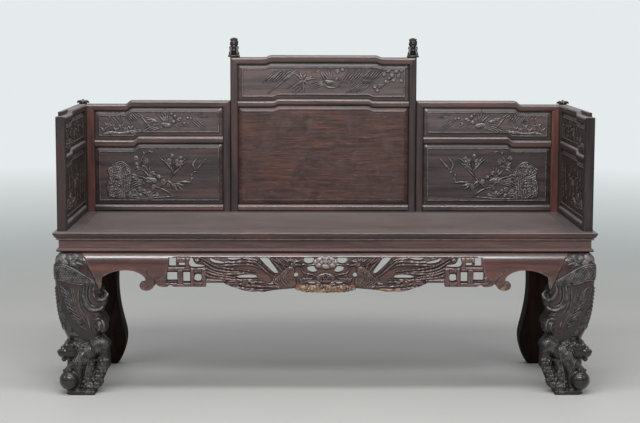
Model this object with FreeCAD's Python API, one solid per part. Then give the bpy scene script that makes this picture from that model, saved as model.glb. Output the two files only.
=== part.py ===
"""Luohan daybed: a hardwood platform on four cabriole legs, with three-sided frame-and-panel screens.

Axes: +X to the sitter's left-to-right length, +Y to the back, +Z up. The origin is on the floor
under the middle of the seat. All lengths are in millimetres.
"""

import FreeCAD
import Part
import math
import os

V = FreeCAD.Vector

# Seat platform
seat_length = 1918.0
seat_depth = 672.0
seat_height = 586.0
frame_rail_width = 88.0
frame_rail_thickness = 27.0
frame_tenon_back = 19.0
frame_tenon_inset = 30.0
frame_tenon_width = 26.0
frame_tenon_rise = 8.0
frame_tenon_thickness = 8.0
edge_top_inset = 2.5
edge_nose_drop = 6.0
edge_ogee_inset = 5.0
edge_ogee_drop = 14.0
edge_lip_inset = 10.5
edge_lip_height = 5.0
edge_lip_slope = 3.0
edge_lip_nose = 1.2
edge_hollow_drop = 18.5
edge_hollow_inset = 8.5
board_count = 3
board_thickness = 14.0
board_tongue_thickness = 7.0
board_tongue_length = 10.0
board_tongue_rise = 1.5
board_joint_tongue_length = 6.0
board_joint_tongue_thickness = 4.0
brace_count = 3
brace_spacing = 460.0
brace_width = 42.0
brace_height = 30.0
brace_tenon_length = 16.0
brace_tenon_height = 10.0
brace_dovetail_height = 3.5
brace_dovetail_flare = 3.0
brace_dovetail_width = 21.0
brace_dovetail_stop = 10.0

# Waist and the moulding under it
waist_height = 29.5
waist_thickness = 18.5
waist_inset = 19.5
waist_tongue_thickness = 6.0
waist_tongue_length = 5.0
moulding_height = 13.5
moulding_nose_inset = 11.0
moulding_nose_height = 4.8
moulding_foot_inset = 18.5
moulding_nose_round = 2.5

# Aprons
apron_drop = 144.5
apron_mitre_drop = 135.0
apron_top_inset = 22.0
apron_belly_inset = 5.0
apron_belly_drop = 43.0
apron_swell_inset = 11.3
apron_swell_drop = 15.5
apron_thickness = 33.0
apron_tenon_thickness = 12.0
apron_tenon_height = 44.0
apron_tenon_drop = 38.0
apron_tenon_length = 20.0
apron_tenon_inset = 18.0

# Legs
leg_top_width = 101.0
leg_shoulder_width = 162.0
leg_depth_share = 0.8
leg_whole_share = 1.0
leg_outer_round = 34.0
leg_inner_round = 12.0
stub_width = 45.0
stub_depth = 40.0
leg_tenon_length = 18.0
leg_tenon_width = 16.0
leg_tenon_thickness = 14.0
leg_tenon_margin = 2.0
ball_diameter = 67.0
ball_inset = 45.0
ball_front_inset = 34.0
ball_centre_height = 50.0
foot_pad_height = 15.0
foot_pad_inset = 33.0
foot_pad_front_inset = 17.0
foot_pad_length = 106.0
foot_pad_depth = 100.0
spur_depth = 62.0
spur_bulb_radius = 14.0
spur_tail_radius = 9.0
lion_head_radius = 30.0
lion_muzzle_radius = 16.0
lion_mane_radius = 27.0
lion_chest_radius = 30.0
lion_haunch_radius = 35.0
lion_thigh_radius = 22.0
lion_paw_radius = 14.0
lion_ear_radius = 8.0

# Screens
screen_thickness = 34.0
screen_inset = 11.0
side_screen_front_inset = 44.0
post_width = 29.0
corner_post_width = 62.0
centre_half_width = 360.0
bottom_rail_height = 26.0
side_top_height = 417.5
side_top_rail_height = 27.5
side_mid_rail_bottom = 250.0
side_mid_rail_height = 28.0
centre_top_height = 598.5
centre_top_rail_height = 29.0
centre_mid_rail_bottom = 406.0
centre_mid_rail_height = 24.0
step_rise = 14.0
centre_step_rise = 8.0
step_width = 30.0
side_step_top_place = 194.0
side_step_mid_place = 222.0
centre_step_top_place = 215.0
centre_step_mid_place = 184.0
arm_step_top_place = 200.0
arm_step_mid_place = 186.0
arm_front_post_width = 34.0
arm_ledge_thickness = 14.0
arm_ledge_setback = 48.0
rail_round = 9.0
post_round = 6.0
back_round = 3.0
panel_field_inset = 7.0
panel_bevel_width = 16.0
panel_bevel_drop = 7.0
panel_bead_width = 3.0
panel_sink = 1.4
panel_back_inset = 24.0
panel_tongue_thickness = 8.0
panel_tongue_inset = 15.0
panel_tongue_length = 7.0
rail_tenon_thickness = 10.0
rail_tenon_inset = 12.0
rail_tenon_length = 16.0
rail_tenon_margin = 5.0
key_thickness = 10.0
key_length = 26.0
key_depth = 9.0
key_flare = 2.5
centre_key_share = 0.55
side_key_share = 0.28
arm_key_shares = (-0.62, 0.58)
joint_key_share = 0.45

# Finials
lion_pad_width = 45.0
lion_pad_depth = 38.0
lion_pad_height = 8.0
lion_finial_height = 75.0
finial_peg_radius = 5.0
finial_peg_length = 14.0
bud_width = 49.0
bud_height = 19.0
bud_centre_inset = 18.0
leaf_width = 20.0

# The seated lion's masses, as (side, forward, height) shares of its pad width and its own height.
finial_ball_shares = [
    ((0.0, 0.02, 0.76), 0.32),
    ((0.0, -0.24, 0.70), 0.16),
    ((0.24, 0.05, 0.93), 0.085),
    ((0.0, -0.26, 0.30), 0.15),
    ((0.24, 0.10, 0.20), 0.17),
    ((0.22, -0.30, 0.05), 0.09),
]
finial_limb_shares = [
    ((0.0, 0.12, 0.22), (0.0, 0.04, 0.62), 0.28, 0.24),
    ((0.24, -0.10, 0.46), (0.25, -0.26, 0.04), 0.10, 0.08),
]
# The bud's half profile and one leaf's outline, as shares of half the width and of the height.
bud_shares = [(0.62, 0.0), ((0.64, 0.30), (0.50, 0.58)), ((0.24, 0.72), (0.0, 1.0))]
leaf_shares = [
    (0.78, 0.0),
    ((0.92, 0.12), (1.0, 0.28)),
    ((0.86, 0.50), (0.68, 0.56)),
    ((0.45, 0.60), (0.28, 0.66)),
    (0.0, 0.66),
]

# Fits
joint_clearance = 0.15
groove_clearance = 0.3
panel_gap = 0.4
cut_overrun = 5.0

half_length = seat_length / 2
half_depth = seat_depth / 2
frame_bottom = seat_height - frame_rail_thickness
waist_bottom = frame_bottom - waist_height
apron_top = waist_bottom - moulding_height
waist_inner_inset = waist_inset + waist_thickness
field_half_length = half_length - frame_rail_width
field_half_depth = half_depth - frame_rail_width
screen_back_face = half_depth - screen_inset
screen_front_face = screen_back_face - screen_thickness
arm_outer_face = half_length - screen_inset
arm_inner_face = arm_outer_face - screen_thickness
arm_front = side_screen_front_inset - half_depth
board_bottom = seat_height - board_thickness
parts = {}


def box(x0, x1, y0, y1, z0, z1):
    """A box between six planes."""
    return Part.makeBox(x1 - x0, y1 - y0, z1 - z0, V(x0, y0, z0))


def grown(x0, x1, y0, y1, z0, z1, by):
    """The same box with every face moved out by a clearance."""
    return box(x0 - by, x1 + by, y0 - by, y1 + by, z0 - by, z1 + by)


def path_wire(items, at):
    """A closed wire. An item is a point (a, b), an arc (mid, end) or a curve [points]; at places (a, b)."""
    edges = []
    here = start = at(*items[0])
    for item in items[1:]:
        if isinstance(item, list):
            points = [here] + [at(*p) for p in item]
            curve = Part.BSplineCurve()
            curve.interpolate(points)
            edges.append(curve.toShape())
            here = points[-1]
        elif isinstance(item[0], tuple):
            end = at(*item[1])
            edges.append(Part.Arc(here, at(*item[0]), end).toShape())
            here = end
        else:
            end = at(*item)
            edges.append(Part.LineSegment(here, end).toShape())
            here = end
    if here.distanceToPoint(start) > joint_clearance / 100:
        edges.append(Part.LineSegment(here, start).toShape())
    return Part.Wire(edges)


def elevation(items, y0, y1):
    """An outline in X and Z, extruded from y0 to y1."""
    return Part.Face(path_wire(items, lambda a, b: V(a, y0, b))).extrude(V(0, y1 - y0, 0))


def side_view(items, x0, x1):
    """An outline in Y and Z, extruded from x0 to x1."""
    return Part.Face(path_wire(items, lambda a, b: V(x0, a, b))).extrude(V(x1 - x0, 0, 0))


def plan(items, z0, z1):
    """An outline in X and Y, extruded from z0 to z1."""
    return Part.Face(path_wire(items, lambda a, b: V(a, b, z0))).extrude(V(0, 0, z1 - z0))


def mirrored_x(shape):
    """The shape on the other side of the middle of the length."""
    return shape.mirror(V(0, 0, 0), V(1, 0, 0))


def mirrored_y(shape):
    """The shape on the other side of the middle of the depth."""
    return shape.mirror(V(0, 0, 0), V(0, 1, 0))


def front_member(profile, width):
    """A mitred front member of a ring round the seat; profile is in inset and height."""
    bar = side_view([place(p) for p in profile], -half_length, half_length)
    corners = [
        (-half_length, -half_depth),
        (half_length, -half_depth),
        (half_length - width, width - half_depth),
        (width - half_length, width - half_depth),
    ]
    return bar.common(plan(corners, 0, seat_height + cut_overrun))


def place(item):
    """Moves an outline item from inset to the front's Y."""
    if isinstance(item[0], tuple):
        return tuple((a - half_depth, b) for a, b in item)
    return (item[0] - half_depth, item[1])


def place_left(item):
    """Moves an outline item from inset to the left end's X."""
    if isinstance(item[0], tuple):
        return tuple((a - half_length, b) for a, b in item)
    return (item[0] - half_length, item[1])


def left_member(profile, width):
    """A mitred left member of a ring round the seat; profile is in inset and height."""
    bar = elevation([place_left(p) for p in profile], -half_depth, half_depth)
    corners = [
        (-half_length, -half_depth),
        (width - half_length, width - half_depth),
        (width - half_length, half_depth - width),
        (-half_length, half_depth),
    ]
    return bar.common(plan(corners, 0, seat_height + cut_overrun))


def seat_frame():
    """The four mitred rails of the seat frame, with their corner tenons and the panel groove."""
    top, bottom = seat_height, frame_bottom
    lip_top = bottom + edge_lip_height
    profile = [
        (frame_rail_width, top),
        (edge_top_inset, top),
        ((edge_top_inset / 4, top - edge_nose_drop / 4), (0, top - edge_nose_drop)),
        ((edge_ogee_inset / 2, top - edge_ogee_drop * 2 / 3), (edge_ogee_inset, top - edge_ogee_drop)),
        ((edge_hollow_inset, top - edge_hollow_drop), (edge_lip_inset + edge_lip_slope, lip_top)),
        (edge_lip_inset, bottom + edge_lip_nose),
        (edge_lip_inset + edge_lip_nose / 2, bottom),
        (frame_rail_width, bottom),
    ]
    front = front_member(profile, frame_rail_width)
    left = left_member(profile, frame_rail_width)
    tenon = (
        frame_tenon_back - half_length,
        frame_rail_width - half_length,
        frame_tenon_inset - half_depth,
        frame_tenon_inset + frame_tenon_width - half_depth,
        bottom + frame_tenon_rise,
        bottom + frame_tenon_rise + frame_tenon_thickness,
    )
    front = front.fuse([box(*tenon), mirrored_x(box(*tenon))])
    for cutter in (grown(*tenon, joint_clearance), mirrored_y(grown(*tenon, joint_clearance))):
        left = left.cut(cutter)
    return front.removeSplitter(), left.removeSplitter()


def board_outline(grow):
    """The seat field with its tongue, as a stepped solid that also cuts the groove when grown."""
    low = board_bottom + board_tongue_rise
    return box(
        -field_half_length - board_tongue_length - grow,
        field_half_length + board_tongue_length + grow,
        -field_half_depth - board_tongue_length - grow,
        field_half_depth + board_tongue_length + grow,
        low - grow / 2,
        low + board_tongue_thickness + grow / 2,
    )


def seat_boards():
    """Seat boards side by side, each tongued to the next and into the frame's groove."""
    field = box(
        panel_gap - field_half_length,
        field_half_length - panel_gap,
        panel_gap - field_half_depth,
        field_half_depth - panel_gap,
        board_bottom,
        seat_height,
    ).fuse(board_outline(0))
    reach = field_half_depth + board_tongue_length
    pitch = 2 * field_half_depth / board_count
    mid = board_bottom + board_thickness / 2
    boards = []
    for i in range(board_count):
        low = -reach if i == 0 else -field_half_depth + i * pitch
        high = reach if i == board_count - 1 else -field_half_depth + (i + 1) * pitch
        slab = box(-half_length, half_length, low, high - joint_clearance, 0, seat_height + cut_overrun)
        board = field.common(slab)
        joint_low = mid - board_joint_tongue_thickness / 2
        joint_high = mid + board_joint_tongue_thickness / 2
        if i < board_count - 1:
            tongue = box(
                -field_half_length + board_tongue_length,
                field_half_length - board_tongue_length,
                high - joint_clearance,
                high + board_joint_tongue_length,
                joint_low,
                joint_high,
            )
            board = board.fuse(tongue)
        if i > 0:
            groove = box(
                -field_half_length + board_tongue_length - groove_clearance,
                field_half_length - board_tongue_length + groove_clearance,
                low - cut_overrun,
                low + board_joint_tongue_length + groove_clearance,
                joint_low - joint_clearance,
                joint_high + joint_clearance,
            )
            board = board.cut(groove)
        boards.append(board.removeSplitter())
    return boards


def brace_profile(grow):
    """The dovetail rib on top of a brace, in X and Z round the brace's own middle."""
    half = brace_dovetail_width / 2 + grow
    low = board_bottom
    high = low + brace_dovetail_height + grow
    return [
        (-half, low - grow),
        (half, low - grow),
        (half + brace_dovetail_flare, high),
        (-half - brace_dovetail_flare, high),
    ]


def brace_places():
    """The X of each brace."""
    return [(i - (brace_count - 1) / 2) * brace_spacing for i in range(brace_count)]


def seat_braces():
    """Cross braces under the boards, dovetailed into them and tenoned into the long frame rails."""
    braces = []
    for x in brace_places():
        body = box(
            x - brace_width / 2,
            x + brace_width / 2,
            panel_gap - field_half_depth,
            field_half_depth - panel_gap,
            board_bottom - brace_height,
            board_bottom,
        )
        tenon = box(*brace_tenon(x))
        reach = field_half_depth - brace_dovetail_stop
        rib = elevation([(x + a, b) for a, b in brace_profile(0)], -reach, reach)
        braces.append(body.fuse([tenon, rib]).removeSplitter())
    return braces


def brace_tenon(x):
    """The box of a brace's through-going tenon at its two ends."""
    reach = field_half_depth + brace_tenon_length
    low = frame_bottom + panel_gap
    return (x - brace_width / 3, x + brace_width / 3, -reach, reach, low, low + brace_tenon_height)


def waist_tongues(side_profile_low, side_profile_high, grow):
    """The profile of a waist board's tongue between two heights."""
    middle = waist_inset + waist_thickness / 2
    half = waist_tongue_thickness / 2 + grow
    return [
        (middle - half, side_profile_low),
        (middle + half, side_profile_low),
        (middle + half, side_profile_high),
        (middle - half, side_profile_high),
    ]


def waist_board(member):
    """A waist board with a tongue above and below."""
    low, high = waist_bottom, frame_bottom
    body = [(waist_inset, low), (waist_inner_inset, low), (waist_inner_inset, high), (waist_inset, high)]
    tongue = waist_tongues(low - waist_tongue_length, high + waist_tongue_length, 0)
    return member(body, waist_inner_inset).fuse(member(tongue, waist_inner_inset)).removeSplitter()


def waist_groove(member):
    """What a waist board's two tongues cut from their neighbours."""
    reach = waist_tongue_length + groove_clearance
    groove = waist_tongues(waist_bottom - reach, frame_bottom + reach, joint_clearance)
    return member(groove, waist_inner_inset + joint_clearance)


def waist_moulding(member):
    """The moulding between the waist and the apron, with a rounded nose and sloping top."""
    low, high = apron_top, waist_bottom
    nose = low + moulding_nose_height
    under_nose = moulding_nose_inset + moulding_nose_round
    profile = [
        (waist_inner_inset, low),
        (moulding_foot_inset, low),
        ((under_nose, low + moulding_nose_round / 2), (moulding_nose_inset, nose)),
        ((under_nose, nose + moulding_nose_height), (waist_inset, high)),
        (waist_inner_inset, high),
    ]
    return member(profile, waist_inner_inset)


# Leg outlines, as (height, outer inset, inner inset): shares of the leg's height and of its shoulder width.
front_leg_shares = [
    (0.0, 0.24, 0.83),
    (0.03, 0.20, 0.88),
    (0.12, 0.26, 1.04),
    (0.21, 0.32, 1.09),
    (0.30, 0.33, 1.06),
    (0.37, 0.265, 1.04),
    (0.45, 0.18, 1.07),
    (0.54, 0.085, 1.06),
    (0.62, 0.036, 1.00),
    (0.71, 0.014, 1.00),
    (0.80, 0.008, 1.02),
    (0.88, 0.008, 0.92),
    (0.93, 0.022, 0.83),
    (0.97, 0.07, 0.75),
    (1.0, 0.136, 0.65),
]
back_leg_shares = [
    (0.0, 0.50, 0.99),
    (0.05, 0.46, 1.10),
    (0.12, 0.40, 1.18),
    (0.22, 0.32, 1.215),
    (0.32, 0.24, 1.14),
    (0.45, 0.15, 1.04),
    (0.58, 0.09, 0.995),
    (0.70, 0.045, 1.0),
    (0.80, 0.02, 1.02),
    (0.90, 0.025, 0.90),
    (0.96, 0.065, 0.78),
    (1.0, 0.136, 0.65),
]


def leg_section(z, outer, inner):
    """A rounded rectangle at one height, in insets from the seat's left front corner."""
    x0, y0 = outer - half_length, outer - half_depth
    x1, y1 = inner - half_length, inner * leg_depth_share - half_depth
    big, small = leg_outer_round, leg_inner_round
    spread = 1 - math.sqrt(0.5)
    items = [
        (x0 + big, y0),
        (x1 - small, y0),
        ((x1 - small * spread, y0 + small * spread), (x1, y0 + small)),
        (x1, y1 - small),
        ((x1 - small * spread, y1 - small * spread), (x1 - small, y1)),
        (x0 + small, y1),
        ((x0 + small * spread, y1 - small * spread), (x0, y1 - small)),
        (x0, y0 + big),
        ((x0 + big * spread, y0 + big * spread), (x0 + big, y0)),
    ]
    return path_wire(items, lambda a, b: V(a, b, z))


def leg_core(shares):
    """The lofted body of the left front leg, cut back where the two aprons meet it."""
    sections = [
        leg_section(z * apron_top, outer * leg_shoulder_width, inner * leg_shoulder_width)
        for z, outer, inner in shares
    ]
    core = Part.makeLoft(sections, True, False)
    return core.cut([apron_side_of_mitre("front"), apron_side_of_mitre("left")])


def mitre_line(width_share, half):
    """The two ends of the slanted joint between a leg and an apron, as (place, height)."""
    top = leg_top_width * width_share - half
    low = leg_shoulder_width * width_share - half
    return (top, apron_top), (low, apron_top - apron_mitre_drop)


def apron_side_of_mitre(side):
    """Everything on the apron's side of the slanted joint, above its foot."""
    share, half = (leg_whole_share, half_length) if side == "front" else (leg_depth_share, half_depth)
    top, low = mitre_line(share, half)
    region = [
        low,
        (top[0] + (top[0] - low[0]) * cut_overrun / apron_mitre_drop, top[1] + cut_overrun),
        (0, apron_top + cut_overrun),
        (0, low[1]),
    ]
    if side == "front":
        return elevation(region, -half_depth - cut_overrun, 0)
    return side_view(region, -half_length - cut_overrun, 0)


def leg_stub():
    """The square stub that a leg sends up behind the waist, with two tenons for the seat frame."""
    x0, y0 = waist_inner_inset - half_length, waist_inner_inset - half_depth
    stub = box(x0, x0 + stub_width, y0, y0 + stub_depth, apron_top - cut_overrun, frame_bottom)
    return stub.fuse([box(*b) for b in leg_tenons()])


def leg_tenons():
    """The boxes of a leg's two tenons: one for the end rail, one for the long rail."""
    x0, y0 = waist_inner_inset - half_length, waist_inner_inset - half_depth
    m, w, t = leg_tenon_margin, leg_tenon_width, leg_tenon_thickness
    z0, z1 = frame_bottom - cut_overrun, frame_bottom + leg_tenon_length
    end_rail = (x0 + m, x0 + m + w, y0 + stub_depth - m - t, y0 + stub_depth - m, z0, z1)
    long_rail = (x0 + stub_width - m - t, x0 + stub_width - m, y0 + m, y0 + m + w, z0, z1)
    return [end_rail, long_rail]


# The hooked spur and the lobes on a front leg's inner edge, as shares of the leg's height and shoulder width.
spur_shares = [(0.985, 0.721), (1.06, 0.695), (1.105, 0.695), (1.135, 0.718)]
lobe_shares = [(1.02, 0.60, 0.09), (1.0, 0.49, 0.18)]
spur_inset_share = 0.105


def leg_spur():
    """The hooked spur and rounded lobes that stand out of a front leg's inner edge."""
    y0 = spur_inset_share * leg_shoulder_width - half_depth
    pieces = []
    for i, (inset_share, height_share) in enumerate(spur_shares):
        radius = spur_bulb_radius if i in (1, 2) else spur_tail_radius
        x = inset_share * leg_shoulder_width - half_length
        pieces.append(Part.makeCylinder(radius, spur_depth, V(x, y0, height_share * apron_top), V(0, 1, 0)))
    for inset_share, height_share, radius_share in lobe_shares:
        x = inset_share * leg_shoulder_width - half_length
        radius = radius_share * leg_shoulder_width
        pieces.append(Part.makeCylinder(radius, spur_depth, V(x, y0, height_share * apron_top), V(0, 1, 0)))
    return pieces


def limb(start, end, r0, r1):
    """A tapered limb with a round start, between two points."""
    axis = end - start
    cone = Part.makeCone(r0, r1, axis.Length, start, axis)
    return cone.fuse(Part.makeSphere(r0, start))


# The lion at the foot: (X inset, Y inset, height) of each mass, as shares of the shoulder width.
lion_head_share = (0.315, 0.29, 0.94)
lion_muzzle_share = (0.18, 0.19, 0.89)
lion_mane_share = (0.50, 0.34, 1.00)
lion_chest_share = (0.60, 0.37, 0.80)
lion_haunch_share = (0.97, 0.45, 0.95)
lion_paw_share = (0.34, 0.26, 0.56)
lion_hock_share = (1.02, 0.47, 0.58)
lion_toe_share = (0.84, 0.40, 0.12)
lion_ear_shares = [(0.33, 0.17, 1.10), (0.17, 0.36, 1.08)]


def lion_point(share):
    """A point of the foot lion, from its shares of the shoulder width."""
    w = leg_shoulder_width
    return V(share[0] * w - half_length, share[1] * w - half_depth, share[2] * w)


def leg_lion():
    """The guardian lion at a front leg's foot: head, mane, back, haunch and legs, in plain masses."""
    head, muzzle = lion_point(lion_head_share), lion_point(lion_muzzle_share)
    mane, paw = lion_point(lion_mane_share), lion_point(lion_paw_share)
    chest, haunch = lion_point(lion_chest_share), lion_point(lion_haunch_share)
    hock, toe = lion_point(lion_hock_share), lion_point(lion_toe_share)
    pieces = [
        Part.makeSphere(lion_head_radius, head),
        Part.makeSphere(lion_muzzle_radius, muzzle),
        Part.makeSphere(lion_mane_radius, mane),
        Part.makeSphere(lion_haunch_radius, haunch),
        limb(chest, haunch, lion_chest_radius, lion_haunch_radius),
        limb(chest, paw, lion_thigh_radius, lion_paw_radius),
        Part.makeSphere(lion_paw_radius, paw),
        limb(haunch, hock, lion_haunch_radius, lion_thigh_radius),
        limb(hock, toe, lion_thigh_radius, lion_paw_radius),
    ]
    pieces += [Part.makeSphere(lion_ear_radius, lion_point(s)) for s in lion_ear_shares]
    return pieces


def foot_ball():
    """The ball under the lion's paw, on the front corner of the foot, and the pad under both."""
    ball = Part.makeSphere(
        ball_diameter / 2, V(ball_inset - half_length, ball_front_inset - half_depth, ball_centre_height)
    )
    x0, y0 = foot_pad_inset - half_length, foot_pad_front_inset - half_depth
    pad = box(x0, x0 + foot_pad_length, y0, y0 + foot_pad_depth, 0, foot_pad_height)
    upright = [e for e in pad.Edges if abs(e.Vertexes[0].Z - e.Vertexes[1].Z) > joint_clearance]
    return [ball, pad.makeFillet(leg_inner_round, upright)]


def front_leg():
    """The left front leg, in one piece with its ball, lion, spur and lobes."""
    leg = leg_core(front_leg_shares).fuse([leg_stub()] + leg_spur() + leg_lion() + foot_ball())
    keep = box(-half_length, 0, -half_depth, 0, 0, seat_height)
    return fitted_leg(leg.common(keep))


def back_leg():
    """The right back leg's mirror image: plain, swelling inwards at the foot."""
    return fitted_leg(leg_core(back_leg_shares).fuse(leg_stub()))


def fitted_leg(leg):
    """A leg with the mortises for its two aprons."""
    front = grown(*apron_tenon(leg_top_width, half_length, half_depth), joint_clearance)
    left = swapped(apron_tenon(leg_top_width * leg_depth_share, half_depth, half_length))
    return leg.cut([front, grown(*left, joint_clearance)]).removeSplitter()


def swapped(b):
    """A box with X and Y exchanged."""
    return (b[2], b[3], b[0], b[1], b[4], b[5])


def apron_tenon(top_width, half, half_across):
    """The box of the tenon at an apron's left end: half runs along the apron, half_across to its face."""
    high = apron_top - apron_tenon_drop
    reach = top_width - half
    lean = leg_shoulder_width - leg_top_width
    start = reach + lean * apron_tenon_drop / apron_mitre_drop - apron_tenon_length
    end = start + 3 * apron_tenon_length
    y0 = apron_tenon_inset - half_across
    return (start, end, y0, y0 + apron_tenon_thickness, high - apron_tenon_height, high)


# The front apron's lower edge from the leg to the middle, as shares of the half span and of the drop.
arch_shares = [(0.985, 0.70), (0.953, 0.545), (0.901, 0.46), (0.856, 0.53), (0.831, 0.70), (0.824, 0.84)]
scroll_shares = [(0.827, 0.89), (0.815, 0.945), (0.796, 0.955), (0.772, 0.92), (0.759, 0.80)]
fret_shares = [(0.745, 0.85), (0.53, 0.85), (0.53, 0.758), (0.444, 0.758)]
belly_shares = [(0.402, 0.835), (0.351, 0.93), (0.291, 0.975), (0.237, 0.965), (0.178, 0.905), (0.135, 0.915)]
rock_shares = [(0.13, 0.955), (0.113, 0.985), (0.0, 1.0)]
# Pierced windows of one half, as (outer, inner, top, bottom) shares of the half span and the drop.
window_shares = [
    (0.691, 0.664, 0.15, 0.355),
    (0.649, 0.621, 0.235, 0.35),
    (0.698, 0.658, 0.485, 0.715),
    (0.629, 0.604, 0.485, 0.735),
    (0.581, 0.549, 0.53, 0.715),
    (0.597, 0.571, 0.16, 0.38),
    (0.355, 0.319, 0.17, 0.34),
    (0.296, 0.264, 0.20, 0.42),
    (0.425, 0.377, 0.61, 0.70),
    (0.156, 0.129, 0.17, 0.30),
    (0.116, 0.086, 0.34, 0.56),
]


def apron_section(half_across):
    """The swelling cross section shared by all aprons, in inset and height."""
    low = apron_top - apron_drop - cut_overrun
    belly = apron_top - apron_belly_drop
    back = apron_belly_inset + apron_thickness
    swell = (apron_swell_inset, apron_top - apron_swell_drop)
    shape = [
        (back, apron_top),
        (apron_top_inset, apron_top),
        (swell, (apron_belly_inset, belly)),
        (apron_belly_inset, low),
        (back, low),
    ]
    moved = []
    for item in shape:
        if isinstance(item[0], tuple):
            moved.append(tuple((a - half_across, b) for a, b in item))
        else:
            moved.append((item[0] - half_across, item[1]))
    return moved


def apron_outline(span, top, low, outline):
    """A symmetric apron outline from the left mitre round to the right one; outline is in real sizes."""
    left = [top, low] + outline
    right = []
    previous = low
    for item in outline:
        if isinstance(item, list):
            back = [previous] + item[:-1]
            right.append([(-a, b) for a, b in reversed(back)])
            previous = item[-1]
        else:
            right.append((-previous[0], previous[1]))
            previous = item
    return left + list(reversed(right)) + [(-top[0], top[1])]


def trimmed_to_mitre(board, width_share, half):
    """The part of an apron that lies between its two slanted joints."""
    top, low = mitre_line(width_share, half)
    lean = (low[0] - top[0]) / apron_mitre_drop
    reach_up, reach_down = apron_top + cut_overrun, apron_top - apron_drop - cut_overrun
    high_x = top[0] - lean * cut_overrun
    low_x = top[0] + lean * (apron_drop + cut_overrun)
    keep = [(high_x, reach_up), (-high_x, reach_up), (-low_x, reach_down), (low_x, reach_down)]
    return board.common(elevation(keep, -half_length, half_length))


def sized(shares, span):
    """Points on an apron's lower edge, from shares of its half span and the drop."""
    return [(-a * span, apron_top - b * apron_drop) for a, b in shares]


def apron_front():
    """The pierced front apron, with hooked scrolls, fret windows and a bellied middle."""
    top, low = mitre_line(leg_whole_share, half_length)
    span = -low[0]
    outline = [sized(arch_shares, span), sized(scroll_shares, span)]
    outline += sized(fret_shares, span) + [sized(belly_shares, span)] + sized(rock_shares, span)
    board = elevation(apron_outline(span, top, low, outline), -half_depth, 0)
    board = board.common(side_view(apron_section(half_depth), -half_length, half_length))
    board = trimmed_to_mitre(board, leg_whole_share, half_length)
    cuts = []
    for outer, inner, high, deep in window_shares:
        z1, z0 = apron_top - high * apron_drop, apron_top - deep * apron_drop
        window = box(-outer * span, -inner * span, -half_depth, 0, z0, z1)
        cuts += [window, mirrored_x(window)]
    tenon = box(*apron_tenon(leg_top_width, half_length, half_depth))
    return board.cut(cuts).fuse([tenon, mirrored_x(tenon)]).removeSplitter()


# The plain aprons' lower edge, as shares of the half span and of the drop.
plain_arch_shares = [(0.974, 0.72), (0.937, 0.59), (0.894, 0.54), (0.845, 0.58), (0.824, 0.68)]
plain_scroll_shares = [(0.82, 0.73), (0.805, 0.765), (0.784, 0.74), (0.77, 0.66)]
plain_belly_shares = [(0.689, 0.63), (0.323, 0.60), (0.0, 0.60)]
end_arch_shares = [(0.983, 0.74), (0.927, 0.60), (0.853, 0.55), (0.754, 0.59), (0.699, 0.70)]
end_scroll_shares = [(0.686, 0.775), (0.631, 0.815), (0.563, 0.78), (0.525, 0.68)]
end_belly_shares = [(0.445, 0.66), (0.223, 0.72), (0.0, 0.74)]
back_apron_shares = [plain_arch_shares, plain_scroll_shares, plain_belly_shares]
end_apron_shares = [end_arch_shares, end_scroll_shares, end_belly_shares]


def plain_apron(along, across, width_share, edge_shares):
    """An uncarved apron with an arch and scroll at each end, built as a front apron would be."""
    top, low = mitre_line(width_share, along)
    span = -low[0]
    outline = [sized(shares, span) for shares in edge_shares]
    board = elevation(apron_outline(span, top, low, outline), -across, 0)
    board = board.common(side_view(apron_section(across), -along, along))
    board = trimmed_to_mitre(board, width_share, along)
    tenon = box(*apron_tenon(leg_top_width * width_share, along, across))
    return board.fuse([tenon, mirrored_x(tenon)]).removeSplitter()


def turned_to_left(shape):
    """Turns a shape built along X at the front so that it runs along Y at the left."""
    turned = shape.copy()
    turned.rotate(V(0, 0, 0), V(0, 0, 1), -90)
    return turned


def s_edge(u0, u1, z, steps, width):
    """An edge from u0 to u1 that starts at height z and takes each (place, rise) in a double curve."""
    items = []
    forward = 1 if u1 > u0 else -1
    for centre, rise in sorted(steps, reverse=forward < 0):
        change = rise * forward
        a, b = width / 2, change / 2
        radius = (a * a + b * b) / (2 * abs(b))
        half_angle = math.atan2(a, radius - abs(b)) / 2
        da = radius * math.sin(half_angle)
        db = math.copysign(radius * (1 - math.cos(half_angle)), b)
        start, end = centre - forward * a, centre + forward * a
        items.append((start, z))
        items.append(((start + forward * da, z + db), (centre, z + b)))
        items.append(((end - forward * da, z + change - db), (end, z + change)))
        z += change
    items.append((u1, z))
    return items


def stepped_outline(u0, u1, low, high, low_steps, high_steps):
    """A closed outline with a stepped lower and upper edge; heights are given at u0."""
    items = [(u0, low)] + s_edge(u0, u1, low, low_steps, step_width)
    top_end = high + sum(rise for _, rise in high_steps)
    items += [(u1, top_end)] + s_edge(u1, u0, top_end, high_steps, step_width)
    return [p for i, p in enumerate(items) if i == 0 or p != items[i - 1]]


def rounded(solid, radius, face_y, upright):
    """Rounds the long edges that lie in the plane Y = face_y: upright ones on posts, the rest on rails."""
    chosen = []
    for edge in solid.Edges:
        if any(abs(v.Y - face_y) > joint_clearance for v in edge.Vertexes) or len(edge.Vertexes) < 2:
            continue
        a, b = edge.Vertexes[0].Point, edge.Vertexes[1].Point
        straight_up = abs(a.x - b.x) < joint_clearance
        if straight_up == upright and a.distanceToPoint(b) > joint_clearance:
            chosen.append(edge)
    return solid.makeFillet(radius, chosen) if chosen else solid


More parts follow.
